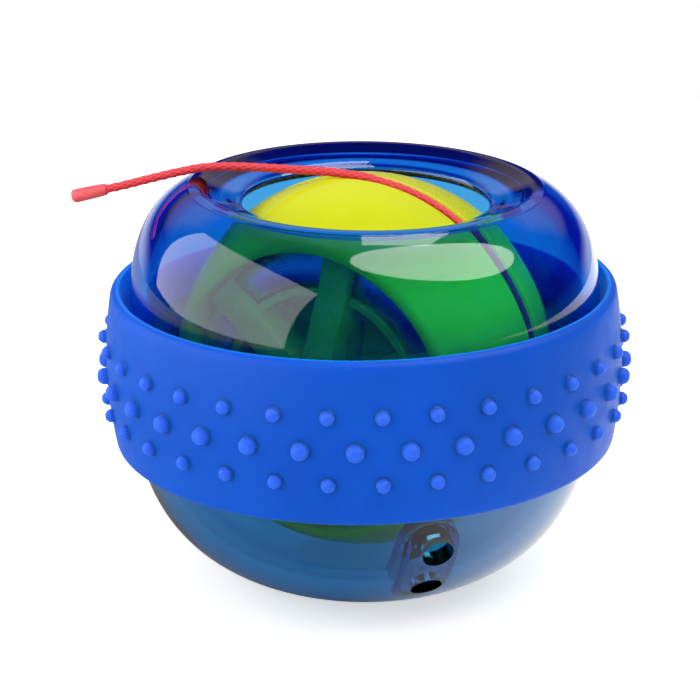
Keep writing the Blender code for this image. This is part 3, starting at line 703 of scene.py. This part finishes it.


# painted shade: the hub caps are the same yellow plastic as the rotor, painted darker
hubPaintedShadeFinish = mouldedFinish("yellowHubPlasticPaintedShade", {
    "colour": (0.46, 0.54, 0.01),
    "shade": (0.40, 0.48, 0.008),
    "driftScale": 90.0,
    "glossScale": 220.0,
    "roughness": (0.22, 0.38),
    "grainScale": 900.0,
    "grainDepth": 0.01,
})
for label, place in bothSides:
    side = label.capitalize()
    spokes = [(spokeTool(number, place), "UNION") for number in range(hub["spokes"])]
    turned("weightRing" + side, weightCorners, rotor["steps"], place, steel, "rotor", "turned_steel",
           ("weight_ring_" + label,), segments=2)
    turned("hubCap" + side, hubCorners, 96, place, hubPaintedShadeFinish, "rotor", "hub_plastic", ("hub_cap_" + label,),
           tools=spokes)
    turned("axleCollar" + side, collarCorners, 64, place, steel, "rotor", "axle_steel",
           ("axle_collar_" + label,))
tipRound, shoulderRound = hub["axleRound"]
axleHalf = [(0, hub["axleEnd"]), (hub["axleTipRadius"], hub["axleEnd"], tipRound),
            (hub["axleTipRadius"], hub["axleShoulder"]),
            (hub["axleRadius"], hub["axleShoulder"], shoulderRound)]
axleCorners = axleHalf + [(corner[0], -corner[1], *corner[2:]) for corner in reversed(axleHalf)]
turned("axle", axleCorners, 48, alongAxle, steel, "rotor", "axle_steel", ("axle",), closed=False)
print("hub, weights and axle")


# Carrier ring and race

ring = {
    "inner": 27.1,
    "outer": 29.6,
    "half": 0.8,
    "notchReach": 29.0,
    "notchWidth": 2.2,
    "raceLow": 1.1,
    "raceTop": 2.7,
    "edgeRound": 0.3,
    "steps": 192,
}
slidingLook = {
    "driftScale": 120.0,
    "glossScale": 260.0,
    "grainScale": 1200.0,
    "grainDepth": 0.02,
}
ringFinish = mouldedFinish("whiteNylon", slidingLook | {
    "colour": (0.80, 0.80, 0.77),
    "shade": (0.74, 0.74, 0.70),
    "roughness": (0.35, 0.55),
})
raceFinish = mouldedFinish("blackAcetal", slidingLook | {
    "colour": (0.035, 0.035, 0.04),
    "shade": (0.025, 0.025, 0.03),
    "roughness": (0.3, 0.5),
})


def ringCorners(top, bottom):
    # a plain ring's section with rounded edges
    return [(ring["outer"], top, ring["edgeRound"]), (ring["outer"], bottom, ring["edgeRound"]),
            (ring["inner"], bottom, ring["edgeRound"]), (ring["inner"], top, ring["edgeRound"])]


notch = bmesh.new()
bmesh.ops.create_cube(notch, size=1)
notchSize = Vector((ring["notchWidth"], 2 * ring["notchReach"], 5 * ring["half"])) * mm
bmesh.ops.scale(notch, vec=notchSize, verts=notch.verts)
notchTool = placed("notchTool", notch, turnedToAxle)
turned("carrierRing", ringCorners(ring["half"], -ring["half"]), ring["steps"], upright, ringFinish,
       "carrier", "ring_plastic", ("carrier_ring",), tools=[(notchTool, "DIFFERENCE")])
for label, side in (("upper", 1), ("lower", -1)):
    raceCorners = ringCorners(side * ring["raceTop"], side * ring["raceLow"])
    turned("raceRing" + label.capitalize(), raceCorners, ring["steps"], upright, raceFinish, "housing",
           "race_plastic", ("race_ring_" + label,))
print("carrier ring and race")


# Clear shells

shell = {
    "upperReach": 27.3,
    "upperFullness": 4.1,
    "upperSteps": (40, 34),  # along the outside and along the inside
    "lowerReach": 31.2,
    "lowerFullness": 2.74,
    "lowerSteps": (44, 36),
    "footRadius": 10.0,
    "footRound": 0.6,
    "floorRound": 0.8,
    "crestInset": 8.5,
    "crestRise": 0.2,
    "hollowInset": 10.5,  # the inside follows the crown this far inward
    "hollowRise": 1.15,  # and then comes down by this to the lip's underside
    "mouthRadius": 16.85,
    "lipWidth": 2.0,
    "lipDrop": 1.35,
    "lipFall": 1.3,
    "lipThickness": 0.9,
    "underLip": [(0.9, 0.05), (0.35, 0.25)],  # its underside, outward from the mouth and up
    "lipRoll": [(0.05, 0.2), (0.4, 0.65)],  # shares of the lip's width and fall
    "crownRoll": [0.45, 0.75],  # shares of the way from the lip to the crest
    "mouthRound": 0.3,
    "smoothing": 6,
    "edgeRound": 0.3,
    "ledgeRadius": 27.75,
    "ledgeHeight": 3.0,
    "ledgeBack": 4.1,
    "wallStart": 5.3,
    "wallBlend": 1.2,  # height over which the ledge's underside runs into the wall
    "skirtInner": 31.2,
    "spigotOuter": 30.9,
    "spigotInner": 29.9,
    "steps": 256,
}
wallRadius = housing - ball["wall"]
crestRadius = housing - shell["crestInset"]
lipRadius = shell["mouthRadius"] + shell["lipWidth"]
ledge = [(shell["ledgeRadius"], shell["ledgeHeight"], shell["edgeRound"]),
         (shell["ledgeRadius"], shell["ledgeBack"], shell["edgeRound"]), (wallRadius, shell["wallStart"])]


def upperCorners():
    # up the outside, over the crown, round the rolled lip and down the inside
    outside = shellCurve(housing, shell["upperReach"], shell["upperFullness"], crestRadius, housing,
                         shell["upperSteps"][0])
    inside = shellCurve(wallRadius, shell["upperReach"] - ball["wall"], shell["upperFullness"], wallRadius,
                        housing - shell["hollowInset"], shell["upperSteps"][1])
    crown = outside[0][1] + shell["crestRise"]
    lipHeight = crown - shell["lipDrop"]
    mouthHeight = lipHeight - shell["lipFall"]
    underLip = mouthHeight - shell["lipThickness"]
    mouth = shell["mouthRadius"]
    wide = crestRadius - lipRadius
    firstShare, lastShare = shell["crownRoll"]
    roll = [(mouth + outward, underLip + up) for outward, up in shell["underLip"]]
    roll += [(mouth, mouthHeight - shell["lipThickness"] * shell["mouthRound"])]
    roll += [(mouth + shell["lipWidth"] * across, mouthHeight + shell["lipFall"] * up)
             for across, up in shell["lipRoll"]]
    roll += [(lipRadius, lipHeight), (lipRadius + wide * firstShare, lipHeight + shell["lipDrop"] * 0.6),
             (lipRadius + wide * lastShare, crown - shell["crestRise"] * 0.25)] + outside[:3]
    corners = [tuple(point) for point in smoothLine(roll, shell["smoothing"])] + outside[3:-1]
    corners += [(housing, halfGap), (shell["skirtInner"], halfGap),
                (shell["skirtInner"], shell["ledgeHeight"])] + ledge
    corners += [(r, z) for r, z in inside if z > shell["wallStart"] + shell["wallBlend"]]
    under = [corners[-1], (lipRadius + shell["lipWidth"] * 0.65, underLip + shell["hollowRise"]),
             (lipRadius, underLip + shell["hollowRise"] * 0.5), roll[0]]
    return corners + [tuple(point) for point in smoothLine(under, shell["smoothing"])][1:]


def clearFinish(name, look):
    # polished plastic, tinted through its depth, with the faint ripple of a moulding
    finish = mouldedFinish(name, clearLook | look)
    tree = finish.node_tree
    depth = tree.nodes.new("ShaderNodeVolumeAbsorption")
    feed(look["depthTint"], depth.inputs["Color"])
    feed(look["depthDensity"], depth.inputs["Density"])
    feed(depth.outputs["Volume"], tree.nodes["Material Output"].inputs["Volume"])
    return finish


clearLook = {
    "roughness": (0.0, 0.02),
    "sockets": {"Transmission Weight": 1.0, "IOR": 1.49},
    "driftScale": 30.0,
    "glossScale": 150.0,
    "grainScale": 90.0,
    "grainDetail": 1.0,
    "grainDepth": 0.01,
}
upperFinish = clearFinish("clearDeepBluePlastic", {
    "colour": (0.55, 0.80, 0.95),
    "shade": (0.52, 0.78, 0.94),
    "depthTint": (0.0, 0.67, 0.935),
    "depthDensity": 720.0,
})
lowerFinish = clearFinish("clearPaleBluePlastic", {
    "colour": (0.44, 0.81, 0.90),
    "shade": (0.41, 0.79, 0.89),
    "depthTint": (0.0, 0.60, 0.82),
    "depthDensity": 560.0,
})
turned("upperShell", upperCorners(), shell["steps"], upright, upperFinish, "housing", "clear_blue_upper",
       ("upper_shell",), crease=34)
print("upper shell")

eyelet = {
    "bearing": 19.4,
    "dip": 32.7,
    "pitch": 7.9,
    "holeRadius": 2.15,
    "holeLean": 10.0,
    "pocketWidth": 7.4,
    "wall": 0.9,
    "aside": 0.4,  # the pocket lies this far left of the holes
    "headroom": 3.3,
    "footroom": 4.0,
    "skin": 2.6,  # shell left over the pocket
    "pocketDepth": 1.9,
    "root": 0.9,  # how far the pocket's wall is rooted in the shell
}


def lowerCorners():
    # written upside down: the collar, the outside down to the foot and the inside back up
    outside = shellCurve(housing, shell["lowerReach"], shell["lowerFullness"], housing,
                         shell["footRadius"], shell["lowerSteps"][0])
    inside = shellCurve(wallRadius, shell["lowerReach"] - ball["wall"], shell["lowerFullness"],
                        shell["footRadius"], wallRadius, shell["lowerSteps"][1])
    corners = [(shell["spigotInner"], -ring["raceTop"]), (shell["spigotOuter"], -ring["raceTop"], 0.2),
               (shell["spigotOuter"], halfGap), (housing, halfGap)]
    corners += outside[1:-1]
    corners += [(*outside[-1], shell["footRound"]), (0, outside[-1][1]), (0, inside[0][1]),
                (*inside[0], shell["floorRound"])]
    corners += [(r, z) for r, z in inside[1:] if z > shell["wallStart"] + shell["wallBlend"]]
    corners += ledge[::-1] + [(shell["spigotInner"], shell["ledgeHeight"])]
    return [(corner[0], -corner[1], *corner[2:]) for corner in corners]


def eyeletPlace():
    # on the lower outline, where the shell's own slope matches the eyelet's dip
    bearing = radians(eyelet["bearing"])
    dip = radians(eyelet["dip"])
    out = Vector((sin(bearing) * cos(dip), -cos(bearing) * cos(dip), -sin(dip)))
    across = Vector((cos(bearing), sin(bearing), 0))
    up = out.cross(across)
    full = shell["lowerFullness"]
    slope = (tan(dip) * (shell["lowerReach"] / housing) ** full) ** (1 / (full - 1))
    ratio = slope * housing / shell["lowerReach"]
    radius = housing / (1 + ratio ** full) ** (1 / full)
    spot = Vector((radius * sin(bearing), -radius * cos(bearing), -radius * slope))
    return upright @ facingOut(across, up, out, spot * mm)


def slotTool(name, width, above, below, top, bottom, matrix):
    # a block with round ends
    shape = bmesh.new()
    bmesh.ops.create_circle(shape, cap_ends=True, segments=48, radius=width / 2 * mm)
    bmesh.ops.translate(shape, verts=shape.verts, vec=(0, 0, bottom * mm))
    for vert in shape.verts:
        vert.co.y += ((above - width / 2) if vert.co.y >= 0 else (width / 2 - below)) * mm
    thicken(shape, shape.faces[:], (0, 0, (top - bottom) * mm))
    return placed(name, shape, matrix)


def holeTool(side, depth, matrix):
    shape = bmesh.new()
    bmesh.ops.create_cone(shape, cap_ends=True, segments=64, radius1=eyelet["holeRadius"] * mm,
                          radius2=eyelet["holeRadius"] * mm, depth=2 * depth * mm)
    sink = Matrix.Translation((0, 0, (depth - eyelet["skin"] - eyelet["pocketDepth"] / 2) * mm))
    lean = Matrix.Rotation(-side * radians(eyelet["holeLean"]), 4, "X")
    start = Matrix.Translation((0, side * eyelet["pitch"] / 2 * mm, 0))
    return placed("holeTool", shape, matrix @ start @ lean @ sink)


def eyeletTools():
    # a closed pocket inside the shell, with two holes into it
    place = eyeletPlace()
    aside = place @ Matrix.Translation((-eyelet["aside"] * mm, 0, 0))
    above = eyelet["pitch"] / 2 + eyelet["headroom"]
    below = eyelet["pitch"] / 2 + eyelet["footroom"]
    depth = eyelet["skin"] + eyelet["pocketDepth"]
    wall = eyelet["wall"]
    block = slotTool("pocketBlock", eyelet["pocketWidth"], above, below, eyelet["root"] - eyelet["skin"],
                     -depth - wall, aside)
    hollow = slotTool("pocketHollow", eyelet["pocketWidth"] - 2 * wall, above - wall, below - wall,
                      -eyelet["skin"], -depth, aside)
    holes = [(holeTool(side, depth, place), "DIFFERENCE") for side in (1, -1)]
    return [(block, "UNION"), (hollow, "DIFFERENCE")] + holes


turned("lowerShell", lowerCorners(), shell["steps"], upright, lowerFinish, "housing", "clear_blue_lower",
       ("lower_shell",), crease=34, tools=eyeletTools())
print("lower shell")


# Silicone grip band

band = {
    "inner": 32.8,
    "outer": 35.7,
    "top": 11.6,
    "bottom": 10.5,
    "bulge": 1.0,
    "flare": 0.7,
    "flareLength": 2.6,
    "topRound": 0.9,
    "bottomRound": 0.7,
    "askew": 1.3,  # it was pulled on slightly crooked
    "nubsPerRow": 32,
    "nubBearing": 3.6,
    "rowPitch": 4.55,
    "bigNub": (1.15, 1.4),  # radius and height
    "smallNub": (0.92, 1.15),
    "nubTop": [(0, 0, 0), (0.42, 0.05, 0), (0.82, 0.22, 0.4)],  # share of the radius, drop, rounding
    "nubEdge": 0.4,  # share of its height where its side ends, and the rounding
    "nubFoot": [(0.02, 0.14, 0.08), (0.16, 0.0, 0.08), (0.26, -0.13, 0)],  # outward, height, rounding
    "nubSteps": 28,
    "sideSpan": (0.82, -0.85, 16),  # shares of top and bottom, and steps
    "steps": 320,
    "shade": (0.0, 0.085, 0.54),
    "colour": (0.0, 0.10, 0.64),
    # painted light: the nubs are painted paler than the band, more so towards their tops
    "nubPaintedLight": (0.03, 0.15, 0.82),
    # painted glow: the inside face is painted brighter, in place of light let in through the clear shells
    "insidePaintedGlow": (0.0, 0.26, 1.0),
    "driftScale": 45.0,
    "glossScale": 400.0,
    "roughness": (0.42, 0.55),
    "grainScale": 2600.0,
    "grainDetail": 2.0,
    "grainDepth": 0.015,
    "sockets": {"Specular IOR Level": 0.12, "Subsurface Weight": 0.6, "Subsurface Radius": (0.03, 0.35, 1.0),
                "Subsurface Scale": 2.2 * mm, "Sheen Weight": 0.1, "Sheen Roughness": 0.25,
                "Sheen Tint": (0.8, 0.75, 1.0, 1)},
}


def bandSurface(height):
    # the radius of the outside at a height
    centreLine = (band["top"] - band["bottom"]) / 2
    half = (band["top"] + band["bottom"]) / 2
    return band["outer"] - band["bulge"] * ((height - centreLine) / half) ** 2


def nubShape(radius, rise):
    # a nub with a soft top, upright sides and a small fillet at its foot
    shape = bmesh.new()
    corners = [(radius * share, rise - drop, turn) for share, drop, turn in band["nubTop"]]
    corners += [(radius, rise * band["nubEdge"], band["nubEdge"])]
    corners += [(radius + outward, height, turn) for outward, height, turn in band["nubFoot"]]
    spinProfile(shape, corners, band["nubSteps"], closed=False, segments=3)
    bmesh.ops.remove_doubles(shape, verts=shape.verts, dist=mergeDistance)
    bmesh.ops.holes_fill(shape, edges=[edge for edge in shape.edges if edge.is_boundary], sides=0)
    return meshFrom("nub", shape)


def addNub(shape, nub, bearing, height):
    first = len(shape.verts)
    shape.from_mesh(nub)
    shape.verts.ensure_lookup_table()
    raised = shape.verts.layers.float["raised"]
    # a nub's painted light grows with its height over the first half millimetre
    for vert in shape.verts[first:]:
        vert[raised] = min(1.0, max(0.0, vert.co.z / (0.5 * mm)))
    out = Vector((sin(bearing), -cos(bearing), 0))
    across = Vector((cos(bearing), sin(bearing), 0))
    up = Vector((0, 0, 1))
    place = facingOut(across, up, out, (out * bandSurface(height) + up * height) * mm)
    bmesh.ops.transform(shape, matrix=place, verts=shape.verts[first:])


def bandFinish():
    # silicone that lets a little light in, with painted light that makes the nubs paler and a painted glow
    # that makes its inside face brighter
    finish = mouldedFinish("satinBlueSilicone", band)
    tree = finish.node_tree
    shader = tree.nodes["Principled BSDF"]
    plain = shader.inputs["Base Color"].links[0].from_socket
    raised = tree.nodes.new("ShaderNodeAttribute")
    raised.attribute_name = "raised"
    inside = calculate(tree, "MULTIPLY", raised.outputs["Fac"], -1.0)
    # painted glow on the inside face, then painted light on the nubs
    plain = mixColour(tree, inside, plain, band["insidePaintedGlow"])
    nubs = mixColour(tree, raised.outputs["Fac"], plain, band["nubPaintedLight"])
    feed(nubs, shader.inputs["Base Color"])
    return finish


high, low, steps = band["sideSpan"]
bandCorners = [(bandSurface(band["top"]), band["top"], band["topRound"])]
bandCorners += [(bandSurface(z), z) for z in spread(band["top"] * high, band["bottom"] * low, steps)]
bandCorners += [(bandSurface(-band["bottom"]), -band["bottom"], band["bottomRound"]),
                (band["inner"], -band["bottom"], 0.2),
                (band["inner"], band["top"] - band["flareLength"], 0.8),
                (band["inner"] + band["flare"], band["top"], 0.35)]
bandShape = bmesh.new()
bandShape.verts.layers.float.new("raised")
spinProfile(bandShape, bandCorners, band["steps"])
raised = bandShape.verts.layers.float["raised"]  # 1 on the nubs, for their painted light, and -1 on the inside face, for its painted glow
for vert in bandShape.verts:
    vert[raised] = -1.0 if vert.co.xy.length < (band["inner"] + band["flare"] + 0.3) * mm else 0.0
bigNub = nubShape(*band["bigNub"])
smallNub = nubShape(*band["smallNub"])
for number in range(band["nubsPerRow"]):
    bearing = radians(band["nubBearing"] + 360 * number / band["nubsPerRow"])
    between = bearing + pi / band["nubsPerRow"]
    addNub(bandShape, smallNub, bearing, band["rowPitch"])
    addNub(bandShape, bigNub, between, 0)
    addNub(bandShape, smallNub, bearing, -band["rowPitch"])
bandPlace = upright @ Matrix.Rotation(radians(band["askew"]), 4, toCamera)
pieceFrom("gripBand", bandShape, bandPlace, bandFinish(), "housing", 40, ("grip_band",))
print("grip band")


# Floor, light and surroundings

studio = {
    "floorRadius": 300.0,
    "floorShade": (0.92, 0.92, 0.92),
    "floorColour": (0.93, 0.93, 0.93),
    "floorDrift": 3.0,
    "floorSockets": {"Roughness": 0.8, "Specular IOR Level": 0.1, "Emission Color": (1, 1, 1, 1)},
    "floorGlow": 0.55,  # keeps the floor white to the camera and through clear pieces
    # painted shade in reflections: the floor's colour seen in gloss, darker than its own
    "floorPaintedShadeInGloss": (0.40, 0.40, 0.40),
    "paintedGlossGlow": (0.0, 1.5),  # its painted glow, seen only in gloss, on the left and on the right: painted reflections lighter towards the right
    "glowEdges": (-5.0, 40.0),
    "ambient": 0.7,  # plain level of the surroundings on matt surfaces
    "throughClear": (1.2, 9.0),  # the same through the shells, from the left and from the right
    "clearEdges": (-0.5, 0.7),
    "horizon": (-0.08, 0.04),  # the pale background ends between these heights
    "wallFoot": (0.22, 0.30),  # the wall behind begins between these, over a low blue band
    "wallHead": (0.55, 0.65),
    "white": (1.0, 1.0, 1.0),
    "lowBlue": (0.01, 0.03, 0.45),
    "wall": (0.46, 0.38, 0.62),
    "clearWall": (0.85, 0.85, 0.80),  # the same wall through the shells
    "ceiling": (0.02, 0.05, 1.3),
    "clearCeiling": (0.4, 0.4, 0.4),
    "around": (0.01, 0.03, 0.5),  # what gloss sees in front and at the sides
    "sides": (0.62, 0.82),  # cosines between which gloss turns from there to straight behind
    "lampDistance": 1000.0,
    "highlightDistance": 0.98,  # a lamp's highlight hangs this much nearer than its light
    "keyPlace": (-600.0, -150.0, 216.0),
    "keySize": (1230.0, 720.0),
    "keyAcross": (0, 1, 0),
    "keyWhite": (1.2, 2.0),  # how white the lamp is as light and as highlight
    "topDirection": (0.434, -0.167, 0.89),
    "topSize": (1180.0, 890.0),
    "topAcross": (1.07, 0.33, -0.37),
    "topWhite": (1.6, 5.0),
    "lipDirection": (0.13, 0.36, 0.92),  # a highlight alone, on the far lip
    "lipSize": (290.0, 380.0),
    "lipAcross": (1, 0, 0),
    "lipWhite": 5.0,
}


def floorFinish():
    # white to the camera with the object's shadow on it; in gloss it is painted darker, with a painted glow
    # that grows to the right
    finish, tree, shader = newFinish("paleFloor")
    coords = objectCoords(tree)
    drift = noise(tree, coords, studio["floorDrift"])
    lit = colourRamp(tree, drift, (studio["floorShade"], studio["floorColour"]))
    setSockets(shader, studio["floorSockets"])
    path = tree.nodes.new("ShaderNodeLightPath").outputs
    # painted shade: a darker floor colour for glossy rays
    lit = mixColour(tree, path["Is Glossy Ray"], lit, studio["floorPaintedShadeInGloss"])
    feed(lit, shader.inputs["Base Color"])
    straight = calculate(tree, "MAXIMUM", path["Is Camera Ray"], path["Is Transmission Ray"])
    parts = tree.nodes.new("ShaderNodeSeparateXYZ")
    feed(coords, parts.inputs["Vector"])
    edges = [edge * mm for edge in studio["glowEdges"]]
    # painted glow in gloss, growing from left to right
    toRight = ease(tree, parts.outputs["X"], *edges, *studio["paintedGlossGlow"])
    level = mixFloat(tree, straight, toRight, studio["floorGlow"])
    glow = calculate(tree, "MULTIPLY", backgroundRay(tree), level)
    feed(glow, shader.inputs["Emission Strength"])
    return finish


def heightColours(tree, height, edges, colours):
    # the surroundings by sine of height, which a ramp takes as 0 to 1
    share = calculate(tree, "MULTIPLY", calculate(tree, "ADD", height, 1.0), 0.5)
    return colourRamp(tree, share, colours, [(edge + 1) / 2 for edge in edges])


def backgroundRay(tree):
    # one for what the camera sees directly, in gloss or through clear pieces
    path = tree.nodes.new("ShaderNodeLightPath").outputs
    gloss = calculate(tree, "MAXIMUM", path["Is Glossy Ray"], path["Is Transmission Ray"])
    direct = calculate(tree, "LESS_THAN", path["Diffuse Depth"], 0.5)
    shown = calculate(tree, "MULTIPLY", gloss, direct)
    return calculate(tree, "MAXIMUM", path["Is Camera Ray"], shown)


def surroundings():
    # a pale room with a wall and a blue ceiling behind the ball
    world = bpy.data.worlds.new("studioWorld")
    world.use_nodes = True
    tree = world.node_tree
    parts = tree.nodes.new("ShaderNodeSeparateXYZ")
    feed(tree.nodes.new("ShaderNodeTexCoord").outputs["Generated"], parts.inputs["Vector"])
    toRight, toBack, height = parts.outputs
    squares = [calculate(tree, "MULTIPLY", part, part) for part in (toRight, toBack)]
    level = calculate(tree, "SQRT", calculate(tree, "ADD", *squares), 0.0)
    cosine = calculate(tree, "DIVIDE", toBack, level)
    behind = ease(tree, cosine, *studio["sides"], 0.0, 1.0)
    ambientInside = ease(tree, toRight, *studio["clearEdges"], *studio["throughClear"])
    path = tree.nodes.new("ShaderNodeLightPath").outputs
    clear = path["Is Transmission Ray"]
    edges = [*studio["horizon"], *studio["wallFoot"], *studio["wallHead"]]
    low = [studio["white"], studio["lowBlue"], studio["lowBlue"]]
    throughShells = heightColours(tree, height, edges,
                                  low + [studio["clearWall"], studio["clearWall"], studio["clearCeiling"]])
    inGloss = heightColours(tree, height, edges, low + [studio["wall"], studio["wall"], studio["ceiling"]])
    inGloss = mixColour(tree, behind, studio["around"], inGloss)
    shown = mixColour(tree, clear, inGloss, throughShells)
    shown = mixColour(tree, path["Is Camera Ray"], shown, studio["white"])
    plain = mixColour(tree, clear, (studio["ambient"],) * 3, ambientInside)
    seen = mixColour(tree, backgroundRay(tree), plain, shown)
    feed(seen, tree.nodes["Background"].inputs["Color"])
    return world


floorShape = bmesh.new()
bmesh.ops.create_circle(floorShape, cap_ends=True, segments=128, radius=studio["floorRadius"] * mm)
floor = addObject("floor", meshFrom("floor", floorShape))
floor.data.materials.append(floorFinish())
bpy.context.scene.world = surroundings()


def softbox(name, place, size, white, across, highlightOnly, shape="RECTANGLE", onlyOn=None):
    # white is how bright the lit face itself looks
    lamp = bpy.data.lights.new(name, "AREA")
    lamp.shape = shape
    lamp.size = size[0] * mm
    lamp.size_y = size[1] * mm
    area = lamp.size * lamp.size_y * (pi / 4 if shape == "ELLIPSE" else 1)
    lamp.energy = white * area * pi
    holder = addObject(name, lamp)
    back = Vector(place).normalized()
    across = (Vector(across) - back * Vector(across).dot(back)).normalized()
    holder.matrix_world = facingOut(across, back.cross(across), back, middle + Vector(place) * mm)
    holder.visible_camera = False
    holder.visible_diffuse = not highlightOnly
    holder.visible_transmission = False
    if onlyOn is not None:
        lit = bpy.data.collections.new(name + "Receivers")
        lit.objects.link(onlyOn)
        holder.light_linking.receiver_collection = lit


keyPlace = Vector(studio["keyPlace"])
topPlace = Vector(studio["topDirection"]) * studio["lampDistance"]
lipPlace = Vector(studio["lipDirection"]) * studio["lampDistance"]
for name, lampPlace, shape in (("key", keyPlace, "RECTANGLE"), ("top", topPlace, "ELLIPSE")):
    size = studio[name + "Size"]
    across = studio[name + "Across"]
    asLight, asHighlight = studio[name + "White"]
    softbox(name + "Softbox", lampPlace, size, asLight, across, False, shape)
    lampPlace = lampPlace * studio["highlightDistance"]
    softbox(name + "Highlight", lampPlace, size, asHighlight, across, True, shape)
softbox("lipHighlight", lipPlace, studio["lipSize"], studio["lipWhite"], studio["lipAcross"], True,
        onlyOn=bpy.data.objects["upperShell"])
print("studio")
